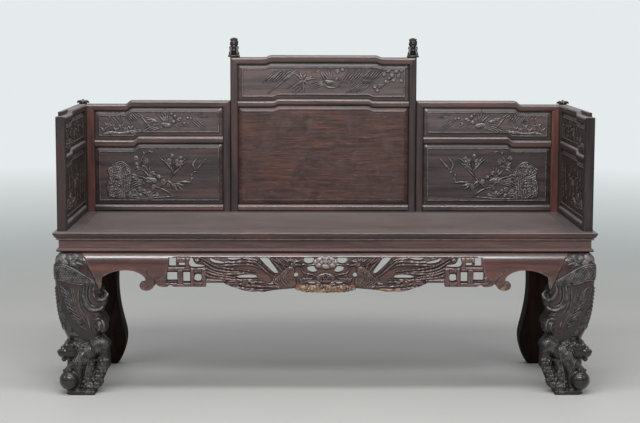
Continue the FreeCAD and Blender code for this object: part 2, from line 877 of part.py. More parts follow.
class Screen:
    """One frame-and-panel screen, built upright in X and Z with its face at Y = 0 and its back at +Y."""

    def __init__(self, span, posts, top, top_rail, mid_low, mid_rail, top_steps, mid_steps):
        self.u0, self.u1 = u0, u1 = span
        self.top, self.top_rail = top + seat_height, top_rail
        self.mid_low, self.mid_rail = mid_low + seat_height, mid_rail
        self.top_steps, self.mid_steps = top_steps, mid_steps
        self.low = seat_height
        self.in0, self.in1 = u0 + posts[0], u1 - posts[1]
        self.top_end = self.top + sum(rise for _, rise in top_steps)
        self.ledge = None

    def rail(self, low, height, steps, u0, u1):
        """A rail with a stepped upper and lower edge."""
        shape = elevation(stepped_outline(u0, u1, low, low + height, steps, steps), 0, screen_thickness)
        shape = rounded(shape, rail_round, 0, False)
        return rounded(shape, back_round, screen_thickness, False)

    def post(self, u0, u1, top):
        """A square post with softened long edges."""
        shape = box(u0, u1, 0, screen_thickness, self.low, top)
        return rounded(rounded(shape, post_round, 0, True), back_round, screen_thickness, True)

    def corner(self, outer, inner, top):
        """The triangle under the mitre between a post and the top rail."""
        reach = (inner - outer) * cut_overrun / self.top_rail
        triangle = [
            (outer - reach, top + cut_overrun),
            (inner, top - self.top_rail),
            (inner, top - self.top_rail - cut_overrun),
            (outer - reach, top - self.top_rail - cut_overrun),
        ]
        return elevation(triangle, -cut_overrun, screen_thickness + cut_overrun)

    def tenon(self, inner, outwards, low, high, length):
        """The box of a tenon that runs from a post's inner face into the post."""
        u0, u1 = sorted((inner - outwards * rail_tenon_margin, inner + outwards * length))
        return (u0, u1, rail_tenon_inset, rail_tenon_inset + rail_tenon_thickness, low, high)

    def panel(self, low, high, low_steps, high_steps):
        """A floating panel with a bevelled raised field and a tongue all round; heights are those at u0."""
        gap, tongue = panel_gap, panel_tongue_length

        def ring(grow, y):
            u0, u1 = self.in0 - grow, self.in1 + grow
            items = stepped_outline(u0, u1, low - grow, high + grow, low_steps, high_steps)
            return path_wire(items, lambda a, b: V(a, y, b))

        base_y = panel_field_inset + panel_bevel_drop
        bevel = -gap - panel_bevel_width
        field = Part.makeLoft([ring(-gap, base_y), ring(bevel, panel_field_inset)], True, True)
        sunk = Part.Face(ring(bevel - panel_bead_width, panel_field_inset - cut_overrun))
        field = field.cut(sunk.extrude(V(0, cut_overrun + panel_sink, 0)))
        body = Part.Face(ring(-gap, base_y)).extrude(V(0, panel_back_inset - base_y, 0))
        plate = Part.Face(ring(tongue, panel_tongue_inset)).extrude(V(0, panel_tongue_thickness, 0))
        groove_y = panel_tongue_inset - joint_clearance
        groove = Part.Face(ring(tongue + groove_clearance, groove_y)).extrude(
            V(0, panel_tongue_thickness + 2 * joint_clearance, 0)
        )
        return body.fuse([field, plate]).removeSplitter(), groove

    def build(self):
        """All seven pieces, as a dictionary by name."""
        rail_len, margin = rail_tenon_length, rail_tenon_margin
        bottom_top = self.low + bottom_rail_height
        top_low = self.top - self.top_rail
        mid_top = self.mid_low + self.mid_rail
        mid_end = self.mid_low + sum(rise for _, rise in self.mid_steps)
        top_rail = self.rail(top_low, self.top_rail, self.top_steps, self.u0, self.u1)
        right_corner = self.corner(self.u1, self.in1, self.top_end)
        left_corner = self.corner(self.u0, self.in0, self.top)
        top_rail = top_rail.cut([left_corner, right_corner])
        if self.ledge:
            top_rail = top_rail.fuse(self.ledge)
        mid_rail = self.rail(self.mid_low, self.mid_rail, self.mid_steps, self.in0, self.in1)
        bottom_rail = self.rail(self.low, bottom_rail_height, [], self.in0, self.in1)
        left = self.post(self.u0, self.in0, self.top + cut_overrun)
        right = self.post(self.in1, self.u1, self.top_end + cut_overrun)
        left, right = left.common(left_corner.fuse(self.below(top_low))), right.common(
            right_corner.fuse(self.below(self.top_end - self.top_rail))
        )
        tenons = {
            "top_rail": [
                self.tenon(self.in0, -1, top_low + margin, top_low + 3 * margin, rail_len),
                self.tenon(
                    self.in1,
                    1,
                    self.top_end - self.top_rail + margin,
                    self.top_end - self.top_rail + 3 * margin,
                    rail_len,
                ),
            ],
            "mid_rail": [
                self.tenon(self.in0, -1, self.mid_low + margin, mid_top - margin, rail_len),
                self.tenon(self.in1, 1, mid_end + margin, mid_end + self.mid_rail - margin, rail_len),
            ],
            "bottom_rail": [
                self.tenon(self.in0, -1, self.low + 2 * margin, bottom_top - margin, rail_len),
                self.tenon(self.in1, 1, self.low + 2 * margin, bottom_top - margin, rail_len),
            ],
        }
        rails = {"top_rail": top_rail, "mid_rail": mid_rail, "bottom_rail": bottom_rail}
        mortises = []
        for name, boxes in tenons.items():
            rails[name] = rails[name].fuse([box(*b) for b in boxes])
            mortises += [grown(*b, joint_clearance) for b in boxes]
        left, right = left.cut(mortises), right.cut(mortises)
        upper, upper_groove = self.panel(mid_top, top_low, self.mid_steps, self.top_steps)
        lower, lower_groove = self.panel(bottom_top, self.mid_low, [], self.mid_steps)
        grooves = [upper_groove, lower_groove]
        pieces = {"first_post": left, "second_post": right, **rails}
        pieces = {name: shape.cut(grooves).removeSplitter() for name, shape in pieces.items()}
        pieces["upper_panel"], pieces["lower_panel"] = upper, lower
        return pieces

    def below(self, z):
        """A block that holds everything of the screen below a height."""
        u0, u1 = self.u0 - cut_overrun, self.u1 + cut_overrun
        return box(u0, u1, -cut_overrun, screen_thickness + cut_overrun, self.low, z)


def side_steps():
    """The back side screen's step places along X, from its outer end: top rail and middle rail."""
    top = [(side_step_top_place - arm_outer_face, step_rise)]
    mid = [(side_step_mid_place - arm_outer_face, step_rise)]
    return top, mid


def back_left_screen():
    """The low screen at the back, left of the middle one."""
    top, mid = side_steps()
    return Screen(
        (-arm_outer_face, -centre_half_width - joint_clearance),
        (corner_post_width, post_width),
        side_top_height,
        side_top_rail_height,
        side_mid_rail_bottom,
        side_mid_rail_height,
        top,
        mid,
    ).build()


def back_centre_screen():
    """The high screen in the middle of the back."""
    top = [(-centre_step_top_place, centre_step_rise), (centre_step_top_place, -centre_step_rise)]
    mid = [(-centre_step_mid_place, centre_step_rise), (centre_step_mid_place, -centre_step_rise)]
    return Screen(
        (-centre_half_width, centre_half_width),
        (post_width, post_width),
        centre_top_height,
        centre_top_rail_height,
        centre_mid_rail_bottom,
        centre_mid_rail_height,
        top,
        mid,
    ).build()


def arm_screen():
    """The left arm screen, built along X from its front end; it is turned into place afterwards."""
    end = screen_front_face - joint_clearance
    top = [(arm_front + arm_step_top_place, step_rise)]
    mid = [(arm_front + arm_step_mid_place, step_rise)]
    screen = Screen(
        (arm_front, end),
        (arm_front_post_width, post_width),
        side_top_height - step_rise,
        side_top_rail_height,
        side_mid_rail_bottom - step_rise,
        side_mid_rail_height,
        top,
        mid,
    )
    ledge_top = seat_height + side_top_height
    screen.ledge = box(
        arm_front + arm_ledge_setback,
        arm_front + arm_step_top_place + step_width,
        screen_thickness - arm_ledge_thickness,
        screen_thickness - back_round,
        ledge_top - step_rise - rail_round,
        ledge_top,
    )
    return screen.build()


def placed_back(shape):
    """Moves a screen piece to the back of the seat."""
    moved = shape.copy()
    moved.translate(V(0, screen_front_face, 0))
    return moved


def placed_arm(shape):
    """Turns a screen piece to the left end of the seat, with its face inwards."""
    moved = shape.copy()
    moved.rotate(V(0, 0, 0), V(0, 0, 1), 90)
    moved.translate(V(-arm_inner_face, 0, 0))
    return moved


def key_solid(grow):
    """A double-dovetail key with its middle at the origin, its length along X and its depth along Z."""
    half, waist = key_length / 2 + grow, key_length / 2 - key_flare + grow
    deep = key_depth + grow
    outline = [(-half, -deep), (half, -deep), (waist, 0), (half, deep), (-half, deep), (-waist, 0)]
    return elevation(outline, -key_thickness / 2 - grow, key_thickness / 2 + grow)


def key_places():
    """Where the hidden keys go, as (point, turn about Z, tipped onto its side)."""
    middle_y = (screen_front_face + screen_back_face) / 2
    middle_x = (arm_inner_face + arm_outer_face) / 2
    places = []
    side_middle = (centre_half_width + arm_inner_face) / 2
    side_reach = (arm_inner_face - centre_half_width) * side_key_share
    joint_height = seat_height + side_top_height * joint_key_share
    for side in (-1, 1):
        places.append((V(side * centre_key_share * centre_half_width, middle_y, seat_height), 0, False))
        for offset in (-side_reach, side_reach):
            places.append((V(side * side_middle + offset, middle_y, seat_height), 0, False))
        for y_share in arm_key_shares:
            places.append((V(side * middle_x, y_share * screen_front_face, seat_height), 90, False))
        places.append((V(side * centre_half_width, middle_y, joint_height), 0, True))
        places.append((V(side * middle_x, screen_front_face, joint_height), 90, True))
    return places


def key_at(point, turn, tipped, grow):
    """A key set at a joint; tipped keys cross an upright joint."""
    key = key_solid(grow)
    if tipped:
        key.rotate(V(0, 0, 0), V(0, 1, 0), 90)
    key.rotate(V(0, 0, 0), V(0, 0, 1), turn)
    key.translate(point)
    return key


def lion_finial():
    """The small seated lion on top of the left post of the middle screen, on its pad, holding an orb."""
    x = post_width / 2 - centre_half_width
    y = (screen_front_face + screen_back_face) / 2
    base = seat_height + centre_top_height
    w, h = lion_pad_width, lion_finial_height - lion_pad_height
    half_pad = lion_pad_depth / 2
    pad = box(x - w / 2, x + w / 2, y - half_pad, y + half_pad, base, base + lion_pad_height)

    def at(share):
        return V(x + share[0] * w, y + share[1] * w, base + lion_pad_height + share[2] * h)

    pieces = []
    for share, radius_share in finial_ball_shares:
        pieces.append(Part.makeSphere(radius_share * w, at(share)))
        if share[0]:
            pieces.append(Part.makeSphere(radius_share * w, at((-share[0], share[1], share[2]))))
    for start, end, start_share, end_share in finial_limb_shares:
        pieces.append(limb(at(start), at(end), start_share * w, end_share * w))
        if start[0]:
            turned = [(-p[0], p[1], p[2]) for p in (start, end)]
            pieces.append(limb(at(turned[0]), at(turned[1]), start_share * w, end_share * w))
    peg = Part.makeCylinder(finial_peg_radius, finial_peg_length, V(x, y, base - finial_peg_length))
    shape = pad.fuse(pieces + [peg])
    below = box(x - w, x + w, y - w, y + w, base - finial_peg_length, base + lion_finial_height)
    return shape.common(below).removeSplitter()


def bud_finial():
    """The bud with four drooping leaves on top of the back left corner post."""
    x = bud_centre_inset - arm_outer_face
    y = (screen_front_face + screen_back_face) / 2
    z = seat_height + side_top_height
    w, h = bud_width / 2, bud_height
    outlines = []
    for shares in (bud_shares, leaf_shares):
        outline = [(0, z)]
        for item in shares:
            points = item if isinstance(item[0], tuple) else (item,)
            points = tuple((a * w, z + b * h) for a, b in points)
            outline.append(points if len(points) > 1 else points[0])
        outlines.append(outline)
    bud = Part.Face(path_wire(outlines[0], lambda a, b: V(a, 0, b)))
    bud = bud.revolve(V(0, 0, 0), V(0, 0, 1), 360)
    half_leaf = leaf_width / 2
    leaf = elevation(outlines[1], -half_leaf, half_leaf)
    pieces = []
    for turn in range(4):
        turned = leaf.copy()
        turned.rotate(V(0, 0, 0), V(0, 0, 1), turn * 90)
        pieces.append(turned)
    pieces.append(Part.makeCylinder(finial_peg_radius, finial_peg_length, V(0, 0, z - finial_peg_length)))
    finial = bud.fuse(pieces)
    finial.translate(V(x, y, 0))
    reach = screen_thickness / 2
    keep = box(x - w, x + w, y - reach, y + reach, z - finial_peg_length, z + h)
    return finial.common(keep).removeSplitter()


def peg_hole(finial_x, z):
    """The hole for a finial's peg."""
    y = (screen_front_face + screen_back_face) / 2
    depth, radius = finial_peg_length + groove_clearance, finial_peg_radius + joint_clearance
    return Part.makeCylinder(radius, depth + cut_overrun, V(finial_x, y, z - depth))


def make_base():
    """Seat frame, boards, braces, waist, moulding, aprons and legs."""
    front_rail, left_rail = seat_frame()
    legs_mortises = [grown(*b, joint_clearance) for b in leg_tenons()]
    brace_cuts = [grown(*brace_tenon(x), joint_clearance) for x in brace_places()]
    frame_cuts = legs_mortises + [mirrored_x(m) for m in legs_mortises] + [board_outline(groove_clearance)]
    front_rail = front_rail.cut(frame_cuts + brace_cuts + [waist_groove(front_member)])
    side_cuts = legs_mortises + [mirrored_y(m) for m in legs_mortises] + [board_outline(groove_clearance)]
    left_rail = left_rail.cut(side_cuts + [waist_groove(left_member)])
    parts["seat_frame_front_rail"] = [front_rail.removeSplitter()]
    parts["seat_frame_back_rail"] = [mirrored_y(front_rail.removeSplitter())]
    parts["seat_frame_left_rail"] = [left_rail.removeSplitter()]
    parts["seat_frame_right_rail"] = [mirrored_x(left_rail.removeSplitter())]
    dovetails = [
        elevation([(x + a, b) for a, b in brace_profile(joint_clearance)], -half_depth, half_depth)
        for x in brace_places()
    ]
    parts["seat_boards"] = [board.cut(dovetails) for board in seat_boards()]
    parts["seat_braces"] = seat_braces()
    for name, piece in (("waist", waist_board), ("waist_moulding", waist_moulding)):
        front, left = piece(front_member), piece(left_member)
        if name == "waist_moulding":
            front = front.cut(waist_groove(front_member))
            left = left.cut(waist_groove(left_member))
        parts[name + "_front"], parts[name + "_back"] = [front], [mirrored_y(front)]
        parts[name + "_left"], parts[name + "_right"] = [left], [mirrored_x(left)]
    parts["apron_front"] = [apron_front()]
    back = plain_apron(half_length, half_depth, leg_whole_share, back_apron_shares)
    parts["apron_back"] = [mirrored_y(back)]
    end = plain_apron(half_depth, half_length, leg_depth_share, end_apron_shares)
    left_apron = turned_to_left(end)
    parts["apron_left"], parts["apron_right"] = [left_apron], [mirrored_x(left_apron)]
    carved, plain = front_leg(), back_leg()
    parts["leg_front_left"], parts["leg_front_right"] = [carved], [mirrored_x(carved)]
    parts["leg_back_left"], parts["leg_back_right"] = [mirrored_y(plain)], [mirrored_y(mirrored_x(plain))]


def make_screens():
    """The five screens, their keys and their finials."""
    for piece, shape in back_left_screen().items():
        name = {"first_post": "corner_post", "second_post": "inner_post"}.get(piece, piece)
        parts["back_left_" + name] = [placed_back(shape)]
        parts["back_right_" + name] = [mirrored_x(placed_back(shape))]
    for piece, shape in back_centre_screen().items():
        name = {"first_post": "left_post", "second_post": "right_post"}.get(piece, piece)
        parts["back_centre_" + name] = [placed_back(shape)]
    for piece, shape in arm_screen().items():
        name = {"first_post": "front_post", "second_post": "back_post"}.get(piece, piece)
        parts["left_arm_" + name] = [placed_arm(shape)]
        parts["right_arm_" + name] = [mirrored_x(placed_arm(shape))]
    finial, bud = lion_finial(), bud_finial()
    parts["lion_finials"] = [finial, mirrored_x(finial)]
    parts["corner_finials"] = [bud, mirrored_x(bud)]
    post_x = post_width / 2 - centre_half_width
    corner_x = bud_centre_inset - arm_outer_face
    lion_hole = peg_hole(post_x, seat_height + centre_top_height)
    bud_hole = peg_hole(corner_x, seat_height + side_top_height)
    bored = {
        "back_centre_left_post": [lion_hole],
        "back_centre_right_post": [mirrored_x(lion_hole)],
        "back_centre_top_rail": [lion_hole, mirrored_x(lion_hole)],
        "back_left_corner_post": [bud_hole],
        "back_left_top_rail": [bud_hole],
        "back_right_corner_post": [mirrored_x(bud_hole)],
        "back_right_top_rail": [mirrored_x(bud_hole)],
    }
    for name, holes in bored.items():
        parts[name] = [parts[name][0].cut(holes)]


def make_keys():
    """The hidden keys, and their mortises in every piece that they reach."""
    places = key_places()
    parts["screen_keys"] = [key_at(*p, 0) for p in places]
    for name in list(parts):
        if name.startswith(("seat_frame", "back_", "left_arm", "right_arm")):
            cutters = [key_at(*p, joint_clearance) for p in places]
            near = [c for c in cutters if c.BoundBox.intersect(parts[name][0].BoundBox)]
            if near:
                parts[name] = [parts[name][0].cut(near)]


def export():
    """Writes one STEP file for each node."""
    os.makedirs("parts", exist_ok=True)
    for name, solids in parts.items():
        flat = [s for shape in solids for s in shape.Solids]
        shape = flat[0] if len(flat) == 1 else Part.makeCompound(flat)
        shape.exportStep(f"parts/{name}.step")
        print(name, len(flat), "solids", round(shape.Volume / 1000), "cm3", shape.isValid())


make_base()
make_screens()
make_keys()
export()
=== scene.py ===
"""Looks of a carved rosewood luohan daybed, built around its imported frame.

Lengths are in metres, apart from the widths and heights of carving strokes and forms, in millimetres.
"""

import logging
import math
from dataclasses import dataclass
from enum import Enum

import bmesh
import bpy
import numpy as np
from mathutils import Euler, Matrix, Vector
from mathutils.geometry import tessellate_polygon


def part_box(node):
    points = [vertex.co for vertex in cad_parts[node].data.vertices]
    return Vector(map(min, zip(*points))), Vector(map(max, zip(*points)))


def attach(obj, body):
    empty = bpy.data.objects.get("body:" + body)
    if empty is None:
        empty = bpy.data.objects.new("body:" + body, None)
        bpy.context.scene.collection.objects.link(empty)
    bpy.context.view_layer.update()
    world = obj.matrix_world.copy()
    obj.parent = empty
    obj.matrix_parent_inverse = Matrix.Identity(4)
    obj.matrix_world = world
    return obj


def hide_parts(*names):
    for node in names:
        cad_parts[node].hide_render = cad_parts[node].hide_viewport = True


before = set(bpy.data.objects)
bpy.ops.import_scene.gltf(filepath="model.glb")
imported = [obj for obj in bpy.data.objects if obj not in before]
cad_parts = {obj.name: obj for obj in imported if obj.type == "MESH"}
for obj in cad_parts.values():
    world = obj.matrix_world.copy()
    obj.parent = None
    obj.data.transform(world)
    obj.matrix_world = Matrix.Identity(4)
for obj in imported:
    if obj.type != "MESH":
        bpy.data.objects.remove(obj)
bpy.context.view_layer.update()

log = logging.getLogger("daybed")

Colour = tuple[float, float, float]
Place = tuple[float, float]
Point = tuple[float, float, float]
Area = tuple[slice, slice]
Socket = bpy.types.NodeSocket
Grid = np.ndarray
Piece = bpy.types.Object
Material = bpy.types.Material
Strokes = tuple[tuple[list[Place], float, float], ...]
Body = tuple[Grid, list]
Rows = tuple[tuple[float, ...], ...]

# Sizes that several pieces share.
half_length = 0.959
half_depth = 0.336
apron_top = 0.516
screen_face = 0.291
arm_face = 0.914
mm = 0.001


def tone(red: int, green: int, blue: int) -> Colour:
    """Turns a colour as it is seen on a screen, 0 to 255, into the shader's linear values."""
    return tuple(
        (c / 255 / 12.92) if c < 11 else ((c / 255 + 0.055) / 1.055) ** 2.4
        for c in (red, green, blue)
    )


# Painted shade: the dark colour laid into hollows, crevices and shaded inner faces.
painted_shade_tone = tone(16, 12, 12)
# Paler petals; on the legs' mask this is a painted highlight.
pale_tone = tone(172, 160, 160)
cloud_tone = tone(94, 76, 77)
speck_tone = tone(140, 104, 92)
bare_gold = (tone(118, 78, 50), tone(176, 146, 118))


def way(*hundredths: float) -> list[Place]:
    """Places on a drawing, from pairs of hundredths of its area: along, then up."""
    shares = [round(h / 100, 6) for h in hundredths]
    return list(zip(shares[::2], shares[1::2]))


class Grain(Enum):
    """The way the wood's grain runs in a piece."""

    ALONG = (0.07, 1.0, 1.0)
    ACROSS = (1.0, 0.07, 1.0)
    UP = (1.0, 1.0, 0.07)


class Sketch:
    """Draws the nodes of one material."""

    def __init__(self, name: str) -> None:
        """Starts a material with one shader.

        Args:
            name: The material's name.
        """
        self.material = bpy.data.materials.new(name)
        self.material.use_nodes = True
        self.tree = self.material.node_tree
        self.shader = self.tree.nodes["Principled BSDF"]

    def feed(self, socket: Socket, value: object) -> None:
        """Links a socket, or sets it where the value is a number or colour.

        Args:
            socket: The input.
            value: Another node's output, a number or a colour.
        """
        if isinstance(value, Socket):
            self.tree.links.new(value, socket)
        elif isinstance(value, tuple) and len(value) == 3 and socket.type == "RGBA":
            socket.default_value = (*value, 1.0)
        else:
            socket.default_value = value

    def node(self, kind: str, settings: dict[str, object], *inputs: object) -> bpy.types.Node:
        """Adds a node and fills its inputs in order; None leaves an input alone.

        Args:
            kind: The node's type, without the prefix that all of them share.
            settings: Its own settings.
            inputs: Values or sockets for its inputs.

        Returns:
            The new node.
        """
        made = self.tree.nodes.new("ShaderNode" + kind)
        for key, value in settings.items():
            setattr(made, key, value)
        for socket, value in zip(made.inputs, inputs):
            if value is not None:
                self.feed(socket, value)
        return made

    def noise(self, at: object, scale: float, detail: float = 4.0, bend: float = 0.0) -> Socket:
        """A noise value between 0 and 1 at some place.

        Args:
            at: The place.
            scale: Waves to a metre.
            detail: How many finer waves are added.
            bend: How far they bend.

        Returns:
            The value's output.
        """
        made = self.node("TexNoise", {})
        for name, value in (("Vector", at), ("Scale", scale), ("Detail", detail), ("Distortion", bend)):
            self.feed(made.inputs[name], value)
        return made.outputs[0]

    def spread(self, value: object, low: float, high: float, to: Place = (0.0, 1.0)) -> Socket:
        """Maps a value from low..high to another range, and stops it there."""
        return self.node("MapRange", {}, value, low, high, to[0], to[1]).outputs[0]

    def math(self, how: str, a: object, b: object = 0.0) -> Socket:
        """One sum of two values."""
        return self.node("Math", {"operation": how}, a, b).outputs[0]

    def times(self, a: object, b: object) -> Socket:
        """The product of two values."""
        return self.math("MULTIPLY", a, b)

    def mix(self, share: object, a: object, b: object, how: str = "MIX") -> Socket:
        """A blend of two colours."""
        return self.node("MixRGB", {"blend_type": how}, share, a, b).outputs[0]

    def painted(self, name: str) -> Socket:
        """The value that a carved mesh holds under a name."""
        return self.node("Attribute", {"attribute_name": name}).outputs["Fac"]


@dataclass(frozen=True)
class Rosewood:
    """One finish of the wood, with the colours that it shows in the photograph."""

    name: str
    base: Colour = tone(84, 62, 58)
    deep: Colour = tone(44, 31, 30)
    warm: Colour = tone(108, 66, 56)
    # Pale dust, with a painted sheen, on what faces up.
    bloom: Colour = tone(150, 141, 140)
    dust_and_sheen_share: float = 0.55
    # Wear, with painted highlights, on crests and corners.
    wear_and_highlight_colour: Colour = tone(158, 132, 122)
    wear_and_highlight_share: float = 0.5
    roughness: float = 0.42
    coat: float = 0.15
    coat_roughness: float = 0.28
    specular: float = 0.5
    # Painted sheen that grows towards the back.
    far_painted_sheen: float = 0.0
    bare: Colour = tone(84, 54, 50)
    bare_deep: Colour = tone(46, 30, 28)
    figure: float = 9.0
    mottle: float = 0.0
    relief: float = 0.35

    def material(self, grain: Grain) -> Material:
        """Makes the finish, or finds it if it was made before.

        Args:
            grain: The way the grain runs.

        Returns:
            The material.
        """
        name = f"{self.name}_{grain.name.lower()}"
        return bpy.data.materials.get(name) or self.paint(Sketch(name), grain)

    def paint(self, s: Sketch, grain: Grain) -> Material:
        """Draws grain, pores, uneven fading, pale dust with painted sheen on what faces up, wear with
        painted highlights, and painted shade in hollows and crevices.

        Args:
            s: The empty sketch.
            grain: The way the grain runs.

        Returns:
            The finished material.
        """
        place = s.node("TexCoord", {}).outputs["Object"]
        run = s.node("Mapping", {}, place, None, None, grain.value).outputs[0]
        normal = s.node("NewGeometry", {}).outputs["Normal"]
        fibre = s.noise(run, 320.0, 3.0, 0.2)
        pores = s.spread(s.noise(run, 900.0, 2.0), 0.6, 0.72)
        patch = s.noise(place, 5.0, 3.0, 0.4)
        colour = self.timber(s, place, run, patch)
        shade = s.spread(fibre, 0.25, 0.75, (0.8, 1.14))
        shade = s.node("CombineColor", {}, shade, shade, shade).outputs[0]
        colour = s.mix(1.0, colour, shade, "MULTIPLY")
        colour = s.mix(s.times(pores, 0.45), colour, self.deep)
        # Pale dust and a painted sheen on what faces up.
        dust_and_sheen = self.dust_and_sheen(s, place, normal, patch)
        colour = s.mix(dust_and_sheen, colour, self.bloom)
        # Paler where the mesh holds it; on the legs' mask a painted highlight.
        colour = s.mix(s.painted("pale"), colour, pale_tone)
        # Painted shade: darker in crevices found by occlusion, and where the mesh holds painted shade.
        closed = s.node("AmbientOcclusion", {"samples": 6}, None, 0.007).outputs["AO"]
        hollow = s.math("MAXIMUM", s.painted("hollow"), s.spread(closed, 0.8, 0.38, (0.0, 0.85)))
        colour = s.mix(s.times(hollow, 0.85), colour, painted_shade_tone)
        edge = s.node("Bevel", {"samples": 4}, 0.0022).outputs[0]
        s.feed(s.shader.inputs["Base Color"], self.rubbed(s, colour, place, normal, edge))
        rough = s.spread(fibre, 0.2, 0.8, (self.roughness - 0.06, self.roughness + 0.08))
        rough = s.math("ADD", rough, s.times(dust_and_sheen, 0.25))
        rough = s.math("ADD", rough, s.times(hollow, 0.45))
        s.feed(s.shader.inputs["Roughness"], rough)
        s.shader.inputs["Specular IOR Level"].default_value = self.specular
        s.feed(s.shader.inputs["Coat Weight"], s.spread(hollow, 0.1, 0.9, (self.coat, 0.0)))
        s.shader.inputs["Coat Roughness"].default_value = self.coat_roughness
        height = s.math("ADD", s.times(fibre, 0.5), s.times(pores, -0.5))
        height = s.math("ADD", height, s.times(s.noise(place, 45.0, 3.0), 1.6))
        bump = s.node("Bump", {})
        for name, value in (
            ("Strength", self.relief), ("Distance", 0.0008), ("Height", height), ("Normal", edge),
        ):
            s.feed(bump.inputs[name], value)
        s.feed(s.shader.inputs["Normal"], bump.outputs[0])
        return s.material

    def timber(self, s: Sketch, place: object, run: object, patch: object) -> Socket:
        """The wood's own colours: its figure and warmer patches, and clouds and specks on some pieces.

        Args:
            s: The sketch that it is drawn in.
            place: Where it is measured.
            run: The same, drawn out along the grain.
            patch: Broad unevenness, 0 to 1.

        Returns:
            The colour's output.
        """
        figure = s.noise(run, self.figure * 4, 5.0, 0.9)
        bare = s.painted("bare")
        base, deep = s.mix(bare, self.base, self.bare), s.mix(bare, self.deep, self.bare_deep)
        colour = s.mix(s.spread(figure, 0.3, 0.62), deep, base)
        warm = s.times(s.spread(figure, 0.52, 0.75), s.spread(patch, 0.35, 0.6))
        colour = s.mix(warm, colour, self.warm)
        if self.mottle:
            share = (0.0, self.mottle)
            cloud = s.mix(s.spread(s.noise(place, 17.0, 5.0, 1.4), 0.38, 0.62), self.deep, cloud_tone)
            colour = s.mix(s.spread(s.noise(place, 9.0, 6.0, 1.0), 0.4, 0.64, share), colour, cloud)
            speck = s.node("Mapping", {}, place, None, None, (0.16, 1.0, 1.0)).outputs[0]
            colour = s.mix(s.spread(s.noise(speck, 230.0, 4.0), 0.54, 0.7, share), colour, self.deep)
            colour = s.mix(s.spread(s.noise(speck, 170.0, 4.0), 0.6, 0.74, share), colour, speck_tone)
        return colour

    def dust_and_sheen(self, s: Sketch, place: object, normal: object, patch: object) -> Socket:
        """How much pale dust and painted sheen lie on what faces up; on some pieces more of it towards the
        back, as a painted sheen.

        Args:
            s: The sketch that it is drawn in.
            place: Where it is measured.
            normal: The way the surface faces.
            patch: Broad unevenness, 0 to 1.

        Returns:
            The share of dust and painted sheen, as an output.
        """
        facing = s.node("SeparateXYZ", {}, normal).outputs[2]
        upward = s.spread(facing, 0.1, 0.95, (0.0, self.dust_and_sheen_share))
        dust_and_sheen = s.times(upward, s.spread(patch, 0.2, 0.8, (0.7, 1.2)))
        if self.far_painted_sheen:
            depth = s.node("SeparateXYZ", {}, place).outputs[1]
            more = s.spread(depth, -0.34, 0.3, (1 - self.far_painted_sheen, 1 + self.far_painted_sheen))
            dust_and_sheen = s.times(dust_and_sheen, more)
        return dust_and_sheen

    def rubbed(self, s: Sketch, colour: object, place: object, normal: object, edge: object) -> Socket:
        """The colour with its crests and corners made pale by wear and painted highlights, and bare golden
        wood where it is painted so.

        Args:
            s: The sketch that it is drawn in.
            colour: The colour so far.
            place: Where it is measured.
            normal: The way the surface faces.
            edge: The same, rounded over its corners.

        Returns:
            The colour's output.
        """
        rub = s.spread(s.noise(place, 60.0, 3.0), 0.35, 0.62)
        crest = s.times(s.painted("crest"), s.times(rub, self.wear_and_highlight_share))
        turn = s.node("VectorMath", {"operation": "DOT_PRODUCT"}, edge, normal).outputs["Value"]
        corner = s.times(rub, self.wear_and_highlight_share * 0.7)
        corner = s.times(s.spread(turn, 0.98, 0.82), corner)
        colour = s.mix(s.math("MAXIMUM", crest, corner), colour, self.wear_and_highlight_colour)
        return s.mix(s.painted("gold"), colour, s.mix(s.spread(rub, 0.2, 0.9), *bare_gold))


frame_wood = Rosewood(
    "frame_wood", base=tone(94, 72, 68), deep=tone(48, 34, 32), warm=tone(112, 68, 58),
    wear_and_highlight_colour=tone(172, 158, 154), roughness=0.34, coat=0.9, coat_roughness=0.13,
)
# Its pale corners are wear and a painted highlight along the seat's lip.
edge_wood = Rosewood(
    "edge_wood", base=tone(74, 42, 38), deep=tone(36, 20, 18), warm=tone(104, 54, 45),
    wear_and_highlight_colour=tone(206, 184, 176), wear_and_highlight_share=1.0, coat=0.6, coat_roughness=0.13,
)
moulding_wood = Rosewood(
    "moulding_wood", base=tone(92, 58, 53), deep=tone(50, 31, 29), warm=tone(112, 62, 52), dust_and_sheen_share=0.3,
    wear_and_highlight_share=0.3, coat=0.0, specular=0.3,
)
waist_wood = Rosewood("waist_wood", base=tone(112, 84, 80), deep=tone(76, 54, 51), warm=tone(134, 88, 76))
post_wood = Rosewood(
    "post_wood", base=tone(66, 49, 49), deep=tone(32, 23, 23), warm=tone(84, 52, 47), coat=0.6,
    coat_roughness=0.15,
)
corner_wood = Rosewood("corner_wood", base=tone(106, 63, 55), deep=tone(58, 36, 32), warm=tone(128, 71, 58))
panel_wood = Rosewood(
    "panel_wood", base=tone(102, 88, 88), deep=tone(76, 63, 63), warm=tone(120, 86, 79),
    wear_and_highlight_colour=tone(190, 183, 183), wear_and_highlight_share=0.48, roughness=0.36, coat=0.6, coat_roughness=0.18,
)
# A darker copy of the panels' finish for the lower panels: painted shade.
low_panel_shaded_wood = Rosewood(
    "low_panel_shaded_wood", base=tone(82, 68, 68), deep=tone(44, 34, 34), warm=tone(104, 70, 63),
    dust_and_sheen_share=0.45, wear_and_highlight_colour=tone(188, 181, 181), wear_and_highlight_share=0.48, roughness=0.36, coat=0.6,
    coat_roughness=0.18,
)
plain_wood = Rosewood(
    "plain_wood", base=tone(92, 61, 54), warm=tone(122, 68, 50), deep=tone(46, 31, 29), figure=26.0,
    mottle=0.55, wear_and_highlight_share=0.3,
)
